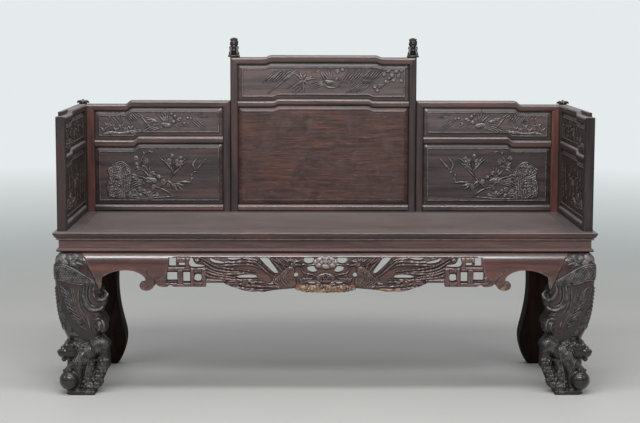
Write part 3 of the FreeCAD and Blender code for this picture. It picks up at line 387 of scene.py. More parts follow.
# Its paler back is a painted sheen.
seat_wood = Rosewood(
    "seat_wood", base=tone(108, 86, 81), deep=tone(50, 36, 34), warm=tone(122, 86, 74), dust_and_sheen_share=0.42,
    mottle=0.5, bloom=tone(148, 139, 136), far_painted_sheen=0.68, figure=14.0,
)
apron_wood = Rosewood(
    "apron_wood", base=tone(92, 52, 47), deep=tone(50, 28, 26), warm=tone(118, 62, 50), dust_and_sheen_share=0.22,
    wear_and_highlight_share=0.35, roughness=0.3, coat=1.0, coat_roughness=0.12,
)
# Darkened for the arms, which stand in shade: painted shade.
arm_shaded_wood = Rosewood(
    "arm_shaded_wood", base=tone(50, 37, 35), deep=tone(28, 20, 19), warm=tone(64, 40, 35), dust_and_sheen_share=0.7,
    wear_and_highlight_share=0.25,
)
arm_post_wood = Rosewood(
    "arm_post_wood", base=tone(64, 56, 57), deep=tone(38, 31, 31), warm=tone(74, 57, 53), coat=0.0,
    specular=0.25,
)
leg_wood = Rosewood(
    "leg_wood", base=tone(38, 27, 27), deep=tone(17, 13, 14), warm=tone(56, 34, 31), dust_and_sheen_share=0.06,
    wear_and_highlight_colour=tone(186, 180, 180), wear_and_highlight_share=0.4, roughness=0.3, specular=0.35, coat=0.75, coat_roughness=0.1,
    bare=tone(72, 46, 43), bare_deep=tone(38, 25, 24),
)
# Darkened and dull for the back legs, in the shade under the seat: painted shade.
back_leg_shaded_wood = Rosewood(
    "back_leg_shaded_wood", base=tone(46, 31, 28), deep=tone(24, 17, 16), warm=tone(58, 35, 30), dust_and_sheen_share=0.1,
    roughness=0.7, coat=0.0, specular=0.05,
)
inner_wood = Rosewood(
    "inner_wood", base=tone(74, 50, 44), deep=tone(40, 28, 25), warm=tone(96, 62, 48), coat=0.0,
)


def smooth_path(points: list[Place], steps: int = 6) -> Grid:
    """Runs a smooth line through a few points.

    Args:
        points: The points.
        steps: How many short runs lie between two of them.

    Returns:
        The line's points, one a row.
    """
    p = np.asarray(points, float)
    if len(p) < 3:
        return p
    padded = np.vstack([2 * p[0] - p[1], p, 2 * p[-1] - p[-2]])
    t = np.linspace(0, 1, steps, endpoint=False)[:, None]
    runs = []
    for a, b, c, d in zip(padded, padded[1:], padded[2:], padded[3:]):
        run = 2 * b + (c - a) * t + (2 * a - 5 * b + 4 * c - d) * t**2 + (3 * b - a - 3 * c + d) * t**3
        runs.append(0.5 * run)
    return np.vstack(runs + [p[-1:]])


def path_distance(line: Grid, u: Grid, v: Grid) -> tuple[Grid, Grid]:
    """Distance from each place to a line, and how far along the line its nearest point is.

    Args:
        line: The line's points.
        u: Places along.
        v: Places up.

    Returns:
        The distances, and the shares of the line's length.
    """
    best, share = np.full(u.shape, 9.0), np.zeros(u.shape)
    lengths = np.hypot(*np.diff(line, axis=0).T)
    total, done = max(lengths.sum(), 1e-9), 0.0
    for (a, b), (c, d), length in zip(line, line[1:], lengths):
        k = np.clip(((u - a) * (c - a) + (v - b) * (d - b)) / max(length**2, 1e-12), 0, 1)
        gap = np.hypot(u - a - k * (c - a), v - b - k * (d - b))
        nearer = gap < best
        best = np.where(nearer, gap, best)
        share = np.where(nearer, (done + k * length) / total, share)
        done += length
    return best, share


def polygon_distance(points: list[Place], u: Grid, v: Grid) -> Grid:
    """Distance to a closed outline, below zero inside it.

    Args:
        points: The outline's corners.
        u: Places along.
        v: Places up.

    Returns:
        The distances.
    """
    ring = np.asarray(points, float)
    ring = np.vstack([ring, ring[:1]])
    gap, _ = path_distance(ring, u, v)
    inside = np.zeros(u.shape, bool)
    for (a, b), (c, d) in zip(ring, ring[1:]):
        crosses = (b > v) != (d > v)
        inside ^= crosses & (u < (c - a) * (v - b) / ((d - b) or 1e-12) + a)
    return np.where(inside, -gap, gap)


def ripple(u: Grid, v: Grid, size: float, seed: int) -> Grid:
    """An uneven surface between about -1 and 1, made of a few waves of one size.

    Args:
        u: Places along.
        v: Places up.
        size: How long the waves are.
        seed: Which random row it gets.

    Returns:
        Its height at each place.
    """
    rng = np.random.default_rng(seed)
    total, waves = np.zeros(np.broadcast(u, v).shape), 7
    turns, phases = rng.uniform(0, math.tau, waves), rng.uniform(0, math.tau, waves)
    for turn, phase, scale in zip(turns, phases, rng.uniform(0.7, 1.6, waves)):
        total += np.sin((u * math.cos(turn) + v * math.sin(turn)) * math.tau * scale / size + phase)
    return total / 3.2


def sampled(grid: Grid, column: Grid, row: Grid) -> Grid:
    """Reads a grid between its points.

    Args:
        grid: The values.
        column: Column numbers with shares.
        row: Row numbers with shares.

    Returns:
        The value at each place.
    """
    i, j = np.floor(column).astype(int), np.floor(row).astype(int)
    i1, j1 = np.minimum(i + 1, grid.shape[0] - 1), np.minimum(j + 1, grid.shape[1] - 1)
    a, b = column - i, row - j
    low, high = grid[i, j] * (1 - a) + grid[i1, j] * a, grid[i, j1] * (1 - a) + grid[i1, j1] * a
    return low * (1 - b) + high * b


def softened(grid: Grid, times: int) -> Grid:
    """A grid with each value drawn towards its neighbours.

    Args:
        grid: The values.
        times: How often they are drawn together.

    Returns:
        The softened values.
    """
    for _ in range(times):
        padded = np.pad(grid, 1, mode="edge")
        grid = (padded[:-2, 1:-1] + padded[2:, 1:-1] + padded[1:-1, :-2] + padded[1:-1, 2:] + 2 * grid) / 6
    return grid


class Relief:
    """Carving in low relief, drawn as heights over a grid of places.

    The sizes of what is drawn are in millimetres.
    """

    def __init__(self, u: Grid, v: Grid, corner: Place, size: Place, mirrored: bool = False) -> None:
        """Starts with a bare ground.

        Args:
            u: Places along, the same down each column.
            v: Places up.
            corner: The lower left corner of the area that shares are measured in.
            size: That area's width and height.
            mirrored: Whether the drawing is turned left to right.
        """
        self.u, self.v = u, v
        self.height = np.zeros(u.shape)
        self.paint = {"gold": np.zeros(u.shape), "pale": np.zeros(u.shape)}
        self.corner, self.size, self.mirrored = corner, size, mirrored
        self.fine = 1.0

    def at(self, place: Place) -> Place:
        """A place in metres from its shares of the area."""
        a = 1 - place[0] if self.mirrored else place[0]
        return self.corner[0] + a * self.size[0], self.corner[1] + place[1] * self.size[1]

    def near(self, points: Grid, reach: float) -> Area | None:
        """The part of the grid round some points, or None where there is none.

        Args:
            points: The points, in metres.
            reach: How far round them.

        Returns:
            The columns and rows, or None.
        """
        points = np.atleast_2d(points)
        low, high = points.min(axis=0) - reach, points.max(axis=0) + reach
        i0, i1 = np.searchsorted(self.u[:, 0], [low[0], high[0]])
        if i1 <= i0:
            return None
        rows = np.nonzero((self.v[i0:i1].max(axis=0) >= low[1]) & (self.v[i0:i1].min(axis=0) <= high[1]))[0]
        return (slice(i0, i1), slice(rows[0], rows[-1] + 1)) if len(rows) else None

    def lay(self, area: Area, edge: Grid, form: Grid) -> None:
        """Lays a form over what is there, with a narrow moat cut round it.

        Args:
            area: The part of the grid.
            edge: Distance to the form's edge, below zero inside.
            form: The form's height.
        """
        here = self.height[area]
        kept = here * np.clip(0.35 + edge / (3.5 * mm), 0.35, 1.0)
        self.height[area] = np.where(edge < 0, np.maximum(kept, form), kept)

    def stroke(
        self, points: list[Place], width: float, lift: float, ends: Place = (0.5, 0.15), rib: float = 0.0,
    ) -> None:
        """A raised line with a round back, such as a stem, strand or leaf.

        Args:
            points: Shares of the area that it passes through.
            width: Its width.
            lift: Its height.
            ends: How wide its two ends are, as shares of its width.
            rib: The depth of its middle groove, as a share of its height.
        """
        line = smooth_path([self.at(p) for p in points])
        width, lift = width * mm * self.fine, lift * mm * self.fine
        area = self.near(line, width)
        if area is None:
            return
        gap, share = path_distance(line, self.u[area], self.v[area])
        start = ends[0] + (1 - ends[0]) * np.clip(share / 0.4, 0, 1)
        finish = ends[1] + (1 - ends[1]) * np.clip((1 - share) / 0.5, 0, 1)
        half = np.maximum(width / 2 * start * finish, 0.7 * mm)
        inner = np.clip(1 - gap / half, 0, 1)
        form = lift * np.sqrt(inner * (2 - inner)) * (1 - rib * np.exp(-((gap / (0.28 * half)) ** 2)))
        self.lay(area, gap - half, form * (0.75 + 0.25 * np.minimum(start, finish)))

    def bundle(
        self, first: list[Place], last: list[Place], count: int, width: float, lift: float, **more: object,
    ) -> None:
        """Some strokes side by side, from a first one to a last one.

        Args:
            first: The first one's path.
            last: The last one's path.
            count: How many there are.
            width: Its width.
            lift: Its height.
            more: What else a stroke takes.
        """
        for i in range(count):
            k = i / max(count - 1, 1)
            path = [(a + (c - a) * k, b + (d - b) * k) for (a, b), (c, d) in zip(first, last)]
            self.stroke(path, width, lift * (1 - 0.12 * (i % 2)), **more)

    def hatch(
        self, first: list[Place], last: list[Place], count: int, slant: float, width: float, lift: float,
    ) -> None:
        """Short strokes from one line across to another, each ending a little further on.

        Args:
            first: The line that they start on.
            last: The line that they end on.
            count: How many there are.
            slant: How much further on each ends.
            width: Its width.
            lift: Its height.
        """
        one, two = smooth_path(first, 12), smooth_path(last, 12)
        for share in np.linspace(0, 1 - slant, count):
            start, end = one[int(share * (len(one) - 1))], two[int((share + slant) * (len(two) - 1))]
            self.stroke([tuple(start), tuple(end)], width, lift, ends=(0.4, 0.4))

    def fan(self, root: Place, tips: list[Place], width: float, lift: float, rib: float = 0.4) -> None:
        """Leaves that spread from one root.

        Args:
            root: Where they start.
            tips: Where they end.
            width: Its width.
            lift: Its height.
            rib: The depth of its middle groove, as a share of its height.
        """
        for tip in tips:
            middle = ((root[0] + tip[0]) / 2, (root[1] + tip[1]) / 2 + 0.02)
            self.stroke([root, middle, tip], width, lift, ends=(0.15, 0.05), rib=rib)

    def groove(self, points: list[Place], width: float, depth: float) -> None:
        """A cut line with a round bottom.

        Args:
            points: Shares of the area that it passes through.
            width: Its width.
            depth: Its depth.
        """
        width, depth = width * mm, depth * mm
        line = smooth_path([self.at(p) for p in points])
        area = self.near(line, width)
        if area is not None:
            gap, share = path_distance(line, self.u[area], self.v[area])
            fade = np.clip(np.minimum(share, 1 - share) / 0.2, 0, 1)
            self.height[area] -= depth * fade * np.sqrt(np.clip(1 - (gap / (width / 2)) ** 2, 0, 1))

    def boss(
        self, place: Place, radius: float, lift: float, squash: float = 1.0, turn: float = 0.0,
    ) -> None:
        """A smooth oval lump.

        Args:
            place: Its middle.
            radius: Its half width.
            lift: Its height.
            squash: Its height on the drawing as a share of its width.
            turn: How far it is turned.
        """
        u0, v0 = self.at(place)
        radius, lift = radius * mm * self.fine, lift * mm * self.fine
        area = self.near(np.array([[u0, v0]]), radius * 1.6)
        if area is None:
            return
        turn = -turn if self.mirrored else turn
        du, dv = self.u[area] - u0, self.v[area] - v0
        a, b = du * math.cos(turn) + dv * math.sin(turn), dv * math.cos(turn) - du * math.sin(turn)
        r = np.hypot(a, b / squash) / radius
        self.lay(area, (r - 1) * radius * min(squash, 1.0), lift * np.sqrt(np.clip(1 - r**2, 0, 1)))

    def bloom(
        self, place: Place, radius: float, petals: int, lift: float, turn: float = 0.3, pale: float = 0.0,
    ) -> None:
        """A flower with scalloped petals, each cupped, and a knob in its middle.

        Args:
            place: Its middle.
            radius: Its half width.
            petals: How many petals it has.
            lift: Its height.
            turn: How far it is turned.
            pale: How pale its petals are.
        """
        u0, v0 = self.at(place)
        radius, lift = radius * mm * self.fine, lift * mm * self.fine
        area = self.near(np.array([[u0, v0]]), radius * 1.5)
        if area is None:
            return
        du, dv = self.u[area] - u0, self.v[area] - v0
        r, wave = np.hypot(du, dv), np.abs(np.cos((np.arctan2(dv, du) + turn) * petals / 2))
        reach = radius * (0.74 + 0.26 * np.sqrt(wave))
        inner = np.clip(1 - r / reach, 0, 1)
        form = lift * np.sqrt(np.clip(inner * 4, 0, 1)) * (0.62 + 0.38 * np.clip(wave * 2.2, 0, 1))
        form *= 1 - 0.35 * np.exp(-(((r / reach - 0.55) / 0.16) ** 2))
        form = np.where(r < radius * 0.24, lift * (1.05 - 0.5 * (r / (radius * 0.24)) ** 2), form)
        self.lay(area, r - reach, form)
        if pale:
            self.paint["pale"][area] = np.where(r < reach, pale, self.paint["pale"][area])

    def peony(self, place: Place, radius: float, lift: float, pale: float = 0.0) -> None:
        """A full flower of several rings of petals."""
        for k, petals, up in ((1.0, 8, 0.6), (0.72, 6, 0.78), (0.45, 5, 0.92), (0.22, 3, 1.0)):
            self.bloom(place, radius * k, petals, lift * up, turn=0.9 * k, pale=pale)

    def mass(
        self, points: list[Place], lift: float, rounding: float = 4, crag: float = 0.0, seed: int = 1,
    ) -> None:
        """A broad raised form with a rounded edge, and a craggy top where crag is over zero.

        Args:
            points: Its outline in shares of the area.
            lift: Its height.
            rounding: How far from its edge it reaches that height.
            crag: How rough it is, as a share of its height.
            seed: Which roughness it gets.
        """
        lift, rounding = lift * mm, rounding * mm
        ring = smooth_path([self.at(p) for p in points + points[:1]], 4)
        area = self.near(ring, 4 * mm)
        u, v = self.u[area], self.v[area]
        edge = polygon_distance(ring[:-1], u, v)
        inner = np.clip(-edge / rounding, 0, 1)
        rough = np.abs(ripple(u, v * 1.3, 26 * mm, seed)) + 0.25 * np.abs(ripple(u, v, 14 * mm, seed + 7))
        form = lift * np.sqrt(inner * (2 - inner)) * (1 - crag * np.clip(1 - 1.6 * rough, 0, 1))
        self.lay(area, edge, form)

    def scales(self, points: list[Place], pitch: float, depth: float) -> None:
        """Cuts rows of overlapping scales into a form.

        Args:
            points: The outline of the place where they lie.
            pitch: Their width.
            depth: Its depth.
        """
        pitch, depth = pitch * mm, depth * mm
        ring = [self.at(p) for p in points]
        area = self.near(np.array(ring), 0.0)
        u, v = self.u[area], self.v[area]
        inside = polygon_distance(ring, u, v) < 0
        row = np.floor(v / (pitch * 0.8))
        a = (u / pitch + 0.5 * (row % 2)) % 1 - 0.5
        b = v / (pitch * 0.8) - row
        rim = np.clip(np.abs(np.hypot(a * 1.7, b - 0.1) - 0.8) / 0.22, 0, 1)
        self.height[area] -= np.where(inside & (self.height[area] > depth * 1.5), depth * (1 - rim), 0)

    def bird(self, at: Place, length: float, lift: float) -> None:
        """A bird with a long tail and a raised wing. Its head is to the right before any mirroring.

        Args:
            at: Its breast.
            length: Its length without the tail.
            lift: Its height.
        """
        wide, high = length * mm / self.size[0], length * mm / self.size[1]

        def p(a: float, b: float) -> Place:
            """A place beside the bird, in lengths of it."""
            return at[0] + a * wide, at[1] + b * high

        first = [p(-0.15, -0.02), p(-0.6, 0.02), p(-0.95, -0.14)]
        last = [p(-0.15, -0.12), p(-0.55, -0.22), p(-0.8, -0.36)]
        self.bundle(first, last, 4, 4, lift * 0.7)
        self.fan(
            p(0.05, 0.02),
            [p(-0.42, 0.5), p(-0.24, 0.6), p(-0.06, 0.64), p(0.1, 0.56)],
            7, lift * 0.85,
        )
        self.boss(at, length * 0.3, lift, 0.46, -0.15)
        self.scales([p(-0.28, -0.16), p(0.2, -0.16), p(0.2, 0.14), p(-0.28, 0.14)], 4.4, 0.8)
        self.boss(p(0.34, 0.14), length * 0.1, lift)
        self.stroke([p(0.42, 0.15), p(0.52, 0.12)], 3, lift * 0.8)

    def twig(
        self, points: list[Place], width: float, lift: float, leaves: int, size: float, seed: int,
    ) -> None:
        """A stem with leaves along it on both sides.

        Args:
            points: Shares of the area that it passes through.
            width: Its width.
            lift: Its height.
            leaves: How many leaves it has.
            size: Their length.
            seed: Which random row it gets.
        """
        self.stroke(points, width, lift, ends=(1.0, 0.4))
        line = smooth_path(points)
        rng = np.random.default_rng(seed)
        for i in range(leaves):
            k = int((i + 1) / (leaves + 1) * (len(line) - 2))
            run = (line[k + 1] - line[k]) * np.array(self.size)
            run /= max(np.hypot(*run), 1e-9)
            side = 1 if i % 2 else -1
            lean = rng.uniform(0.5, 1.0) * side
            c, s = math.cos(lean), math.sin(lean)
            out = np.array([run[0] * c - run[1] * s, run[0] * s + run[1] * c])
            tip = line[k] + out * (size * mm) * rng.uniform(0.7, 1.15) / np.array(self.size)
            self.fan(tuple(line[k]), [tuple(tip)], size * 0.34, lift)

    def chisel(self, share: float, size: float, seed: int) -> None:
        """Leaves small tool marks on the raised forms."""
        self.height *= 1 + share * ripple(self.u, self.v, size, seed)

    def tones(self) -> dict[str, Grid]:
        """Crests made pale by wear and painted highlights, and painted shade in hollows, from how each
        place stands to those round it.

        Returns:
            What new_piece paints, by name.
        """
        near, wide = softened(self.height, 3), softened(self.height, 14)
        fine, broad = (self.height - near) / (0.3 * mm), (self.height - wide) / (4 * mm)
        crest = np.clip(fine, 0, 1) + np.clip(broad, 0, 0.3)
        hollow = np.clip(-fine, 0, 1) + np.clip(-broad, 0, 0.5)
        return {"crest": np.clip(crest, 0, 1), "hollow": np.clip(hollow, 0, 1), **self.paint}


def linked(name: str, data: bpy.types.ID) -> Piece:
    """Puts a new object into the scene.

    Args:
        name: Its name.
        data: What it shows.

    Returns:
        The object.
    """
    made = bpy.data.objects.new(name, data)
    bpy.context.scene.collection.objects.link(made)
    return made


def new_piece(
    name: str, verts: Grid, faces: list, material: Material, tones: dict[str, Grid] | None = None,
) -> Piece:
    """Makes a smooth-shaded piece that rides on the daybed.

    Args:
        name: The piece's name.
        verts: Its points.
        faces: Its faces, or several arrays of them.
        material: Its finish.
        tones: Values painted on its points.

    Returns:
        The new object.
    """
    mesh = bpy.data.meshes.new(name)
    mesh.from_pydata(verts.tolist(), [], faces)
    mesh.materials.append(material)
    for key, values in (tones or {}).items():
        painted = mesh.attributes.new(key, "FLOAT", "POINT")
        painted.data.foreach_set("value", np.asarray(values, np.float32).ravel())
    tidy = bmesh.new()
    tidy.from_mesh(mesh)
    bmesh.ops.recalc_face_normals(tidy, faces=tidy.faces)
    tidy.to_mesh(mesh)
    tidy.free()
    mesh.polygons.foreach_set("use_smooth", np.ones(len(mesh.polygons), bool))
    piece = linked(name, mesh)
    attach(piece, "root")
    return piece


def keep_creases(piece: Piece, angle: float) -> None:
    """Shades edges that turn by more than an angle as sharp ones.

    Args:
        piece: The piece.
        angle: The angle.
    """
    mesh = piece.data
    work = bmesh.new()
    work.from_mesh(mesh)
    for edge in work.edges:
        edge.smooth = len(edge.link_faces) != 2 or edge.calc_face_angle(0.0) < angle
    work.to_mesh(mesh)
    work.free()


@dataclass(frozen=True)
class StepEdge:
    """A level edge that takes one or two double-curved steps."""

    height: float
    steps: tuple[Place, ...] = ()
    width: float = 0.03

    def at(self, u: Grid) -> Grid:
        """The edge's height at each place along it.

        Args:
            u: Places along it.

        Returns:
            The heights.
        """
        total = np.full(np.shape(u), self.height)
        for place, rise in self.steps:
            a, b = self.width / 2, abs(rise) / 2
            radius = (a * a + b * b) / (2 * b)
            x = np.clip(u - place, -a, a)
            bend = radius - np.sqrt(radius**2 - (a - np.abs(x)) ** 2)
            total += math.copysign(1, rise) * np.where(x < 0, bend, 2 * b - bend)
        return total


def cells(grid: Grid) -> Grid:
    """The four corner values of each cell of a grid."""
    return np.stack([grid[:-1, :-1], grid[1:, :-1], grid[1:, 1:], grid[:-1, 1:]], axis=-1)


class Side(Enum):
    """Which screen a panel belongs to, with the way its face looks."""

    BACK = "back"
    LEFT = "left"
    RIGHT = "right"

    def placed(self, u: Grid, depth: Grid, v: Grid) -> Grid:
        """Turns places on the screen's face, and depths behind it, into places on the daybed.

        Args:
            u: Places along.
            depth: Depths behind the face.
            v: Places up.

        Returns:
            The places.
        """
        if self is Side.BACK:
            return np.stack([u, screen_face + depth, v], axis=-1)
        sign = -1 if self is Side.LEFT else 1
        return np.stack([sign * (arm_face + depth), u, v], axis=-1)


@dataclass(frozen=True)
class PanelSizes:
    """Depths behind the screen's face, and widths, across a panel's edge."""

    gap: float = 0.0004
    edge: float = 0.014
    bevel: float = 0.016
    bead: float = 0.003
    top: float = 0.007
    sink: float = 0.0014
    back: float = 0.024
    tongue: float = 0.007
    tongue_front: float = 0.015
    tongue_back: float = 0.023
    pitch: float = 0.0016
    fine: float = 0.78
    tool_mark: float = 0.009
    tool_depth: float = 0.2
    crease: float = math.radians(50)


class CarvedPanel:
    """A raised panel with a bevelled border, a bead and a carved, slightly sunk field."""

    def __init__(self, node: str, side: Side, span: Place, low: StepEdge, high: StepEdge) -> None:
        """Lays out the panel's grid.

        Args:
            node: The piece it stands for.
            side: Which screen it is in.
            span: Where its opening begins and ends along the screen.
            low: The opening's lower edge.
            high: The opening's upper edge.
        """
        self.node, self.side, self.sizes = node, side, PanelSizes()
        z = self.sizes
        ends, inner = np.array(span), z.bevel + z.bead
        on_bead = [z.bevel + z.bead * 0.25, z.bevel + z.bead * 0.75]
        rim = np.array([z.gap, z.bevel * 0.5, z.bevel - 0.0004, z.bevel, *on_bead, inner])
        width, height = span[1] - span[0], float(high.at(ends).min() - low.at(ends).max())
        across = np.linspace(inner, width - inner, int((width - 2 * inner) / z.pitch))[1:-1]
        u = np.concatenate([rim, across, width - rim[::-1]])
        rows = int((height - 2 * inner) / z.pitch)
        share = np.linspace(0, 1, rows)[1:-1]
        bottom, top = low.at(span[0] + u)[:, None], high.at(span[0] + u)[:, None]
        middle = bottom + inner + (top - bottom - 2 * inner) * share[None, :]
        v = np.concatenate([bottom + rim, middle, top - rim[::-1]], axis=1)
        self.u, self.v = np.repeat(span[0] + u[:, None], v.shape[1], axis=1), v
        edge_u = np.minimum(u, width - u)[:, None]
        edge_v = np.minimum(v - bottom, top - v)
        self.inset = np.minimum(edge_u, edge_v)
        corner = (span[0], float(low.at(ends).min()))
        size = (width, float(high.at(ends).max()) - corner[1])
        self.relief = Relief(self.u, self.v, corner, size, span[0] > 0 and side is Side.BACK)
        self.relief.fine = z.fine
        log.info("%s: grid of %d by %d", node, *self.u.shape)

    def depth(self) -> Grid:
        """The carved face's depth behind the screen's face.

        Returns:
            The depth at each place of the grid.
        """
        z = self.sizes
        d = self.inset
        slope = z.edge + (z.top - z.edge) * np.clip((d - z.gap) / (z.bevel - z.gap), 0, 1)
        bead = z.top - 0.0011 * np.sqrt(np.clip(1 - ((d - z.bevel - z.bead / 2) / (z.bead / 2)) ** 2, 0, 1))
        ground = z.top + z.sink + 0.00012 * ripple(self.u, self.v, 0.02, 3)
        carved = ground - self.relief.height * np.clip((d - z.bevel - z.bead - 0.0005) / 0.002, 0, 1)
        return np.where(d <= z.bevel, slope, np.where(d < z.bevel + z.bead, bead, carved))

    def build(self, finish: Rosewood, grain: Grain) -> None:
        """Makes the panel with its tongue and back, which replaces its node.

        Args:
            finish: Its finish.
            grain: The way its grain runs.
        """
        z = self.sizes
        nx, ny = self.u.shape
        self.relief.chisel(z.tool_depth, z.tool_mark, 13)
        front = self.side.placed(self.u, self.depth(), self.v).reshape(-1, 3)
        index = np.arange(nx * ny).reshape(nx, ny)
        faces = cells(index).reshape(-1, 4).tolist()
        ring = np.concatenate([index[:, 0], index[-1, 1:], index[-2::-1, -1], index[0, -2:0:-1]])
        place_u, place_v = self.u.ravel()[ring], self.v.ravel()[ring]
        out_u = np.where(place_u == self.u.max(), 1.0, np.where(place_u == self.u.min(), -1.0, 0.0))
        out_v = np.zeros(len(ring))
        out_v[:nx], out_v[nx + ny - 2 : 2 * nx + ny - 2] = -1.0, 1.0
        verts, previous = [front], ring
        count = len(front)
        steps = [(0, z.tongue_front), (z.tongue, z.tongue_front), (z.tongue, z.tongue_back)]
        steps += [(0, z.tongue_back), (0, z.back)]
        for reach, depth in steps:
            depths = np.full(len(ring), depth)
            verts.append(self.side.placed(place_u + reach * out_u, depths, place_v + reach * out_v))
            now = np.arange(count, count + len(ring))
            faces += np.stack([previous, np.roll(previous, -1), np.roll(now, -1), now], axis=-1).tolist()
            previous, count = now, count + len(ring)
        faces.append(previous.tolist())
        painted = self.relief.tones()
        # A painted highlight along the bead and painted shade in the narrow lines beside it.
        off = np.abs(self.inset - z.bevel - z.bead / 2)
        painted["crest"] = np.maximum(painted["crest"], np.where(off < z.bead * 0.4, 0.9, 0.0))
        painted["hollow"] = np.where((off > z.bead * 0.6) & (off < z.bead * 1.4), 0.8, painted["hollow"])
        tones = {k: np.concatenate([a.ravel(), np.zeros(count - nx * ny)]) for k, a in painted.items()}
        piece = new_piece(
            self.node + "_carving", np.concatenate(verts), faces, finish.material(grain), tones,
        )
        keep_creases(piece, z.crease)
        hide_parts(self.node)


class PanelArt:
    """The pictures on the panels: rocks, flowers, long leaves and birds."""

    @staticmethod
    def low_upper(r: Relief) -> None:
        """The low upper panel of the back, drawn as on the left side.

        Args:
            r: The relief that is drawn.
        """
        for i, (a, b) in enumerate(way(7, 30, 10, 44, 13.5, 40, 17, 30, 20.5, 40, 24, 30, 28, 36)):
            r.peony((a, b), (9 + 2 * (i % 3)), 4.6)
            r.fan((a, b - 0.04), [(a + 0.03, b + 0.12), (a - 0.028, b + 0.1)], 6, 3.8)
        r.mass(way(5, 17, 12, 27, 20, 24, 30, 30, 36, 27, 30, 20, 18, 18), 4.2, crag=0.6)
        r.bundle(way(10, 78, 15, 56), way(12.5, 78, 17.5, 56), 2, 3.2, 2.6)
        r.bundle(way(15.5, 79, 22, 48), way(19, 79, 24.5, 52), 3, 3.4, 3.2)
        r.bundle(way(24, 78, 30, 48), way(29, 82, 35, 56), 4, 3.4, 3.4)
        r.bundle(way(31, 82, 40, 58), way(33.5, 82, 42, 64), 2, 3.4, 3.2)
        r.stroke(way(30, 34, 38, 29, 42, 36, 46, 42), 5, 4)
        r.stroke(way(36, 76, 40, 54, 45, 34), 6, 4.2)
        r.bird((0.555, 0.46), 88, 5.6)
        r.fan((0.5, 0.56), way(39, 70, 41, 62, 44, 55), 7, 4.2)
        r.boss((0.625, 0.72), 8, 5.4, 1.1)
        r.fan((0.63, 0.6), way(69, 70, 67, 58), 8, 4.2)
        for spot in way(67, 66, 72.5, 68, 75, 67, 60, 79, 70, 52):
            r.bloom(spot, 6, 5, 4.4)
        r.bundle(way(62, 46, 68, 32), way(70, 60, 76, 40), 4, 3, 2.4)
        r.bundle(way(75, 62, 85, 28), way(79, 66, 87, 36), 3, 3.4, 2.8)
        r.bundle(way(79, 82, 86, 64), way(83, 82, 89, 68), 3, 3.0, 2.4)

    @staticmethod
    def low_lower(r: Relief) -> None:
        """The large lower panel of the back, drawn as on the left side.

        Args:
            r: The relief that is drawn.
        """
        r.mass(
            way(10, 12, 9, 30, 11, 46, 10, 58, 16, 66, 22, 70, 27, 60, 28.5, 44, 27, 26, 29, 11, 20, 10),
            4.4, 7, 0.5, 4,
        )
        r.bundle(
            way(20.5, 12, 21.5, 40, 20, 56), way(26.2, 12, 26.2, 42, 23.5, 60), 4, 6, 5.2, ends=(1.0, 0.5),
        )
        r.stroke(way(13, 64, 20, 70, 26, 62, 29, 50), 6, 5.4)
        r.stroke(way(10, 53, 15, 48, 20.5, 45), 7, 6.2, ends=(0.4, 0.4))
        r.bundle(way(12, 36, 15, 40, 19, 38), way(13, 26, 16, 29, 19, 27), 3, 5, 5.4)
        r.twig(way(30, 50, 34.5, 62, 36.5, 76, 40, 86, 45, 87), 3, 3.4, 5, 18, 5)
        r.peony((0.318, 0.76), 11, 5)
        r.peony((0.325, 0.66), 10, 5)
        r.peony((0.392, 0.71), 13, 5.6)
        r.fan((0.345, 0.6), way(30, 70, 37, 56, 40, 62, 31, 58), 9, 4.6)
        r.fan((0.34, 0.44), way(26.5, 42, 29, 36, 27, 49), 11, 5.4)
        r.bird((0.43, 0.4), 96, 6.2)
        r.fan((0.42, 0.5), way(48, 48, 47.5, 53), 10, 6)
        r.stroke(way(33, 47, 39, 43, 42.5, 37, 45, 30), 7, 6)
        r.stroke(way(47, 29, 54, 24, 61, 14), 6, 5)
        r.stroke(way(50, 26, 57, 40, 62, 52, 69, 66, 73, 76), 5, 4.6)
        r.stroke(way(60, 50, 61.2, 66, 60.8, 80), 4, 4)
        r.fan((0.6, 0.56), way(51, 76, 53, 79, 55.5, 80, 54.5, 68), 9, 5)
        r.fan((0.62, 0.57), way(72, 77, 69, 77, 66.5, 79, 70, 68), 9, 5)
        for a, b, k in ((0.575, 0.72, 10), (0.64, 0.71, 10), (0.6, 0.8, 9), (0.67, 0.76, 8)):
            r.peony((a, b), k, 5.2)
        r.twig(way(74.5, 36, 75.5, 48, 78.5, 58), 3.4, 3.6, 3, 15, 9)
        r.stroke(way(78, 58, 76.5, 66, 79, 74, 81, 78), 8, 5, ends=(0.3, 0.2), rib=0.4)
        r.stroke(way(79, 57, 82, 64, 86.5, 75), 8, 5, ends=(0.3, 0.1), rib=0.4)
        r.stroke(way(75, 36.5, 70, 37.5, 63.5, 37), 9, 5.4, ends=(0.2, 0.2), rib=0.3)
        r.fan((0.6, 0.33), way(70, 30, 68, 24, 64, 22, 55, 38), 10, 5)
        for a, b, k in (
            (0.615, 0.3, 12), (0.57, 0.32, 9), (0.53, 0.38, 10), (0.455, 0.28, 12), (0.345, 0.25, 11),
            (0.38, 0.22, 9), (0.3, 0.22, 10), (0.42, 0.19, 9), (0.35, 0.15, 9), (0.48, 0.16, 9),
        ):
            r.peony((a, b), k, 5.4)
        r.fan((0.33, 0.13), way(28, 19, 31, 24, 27, 14), 9, 4.6)
        r.fan((0.42, 0.12), way(36, 20, 39, 22, 46, 20, 50, 14), 9, 4.6)
        r.stroke(way(27, 11, 40, 10, 52, 12, 66, 14), 5, 4)

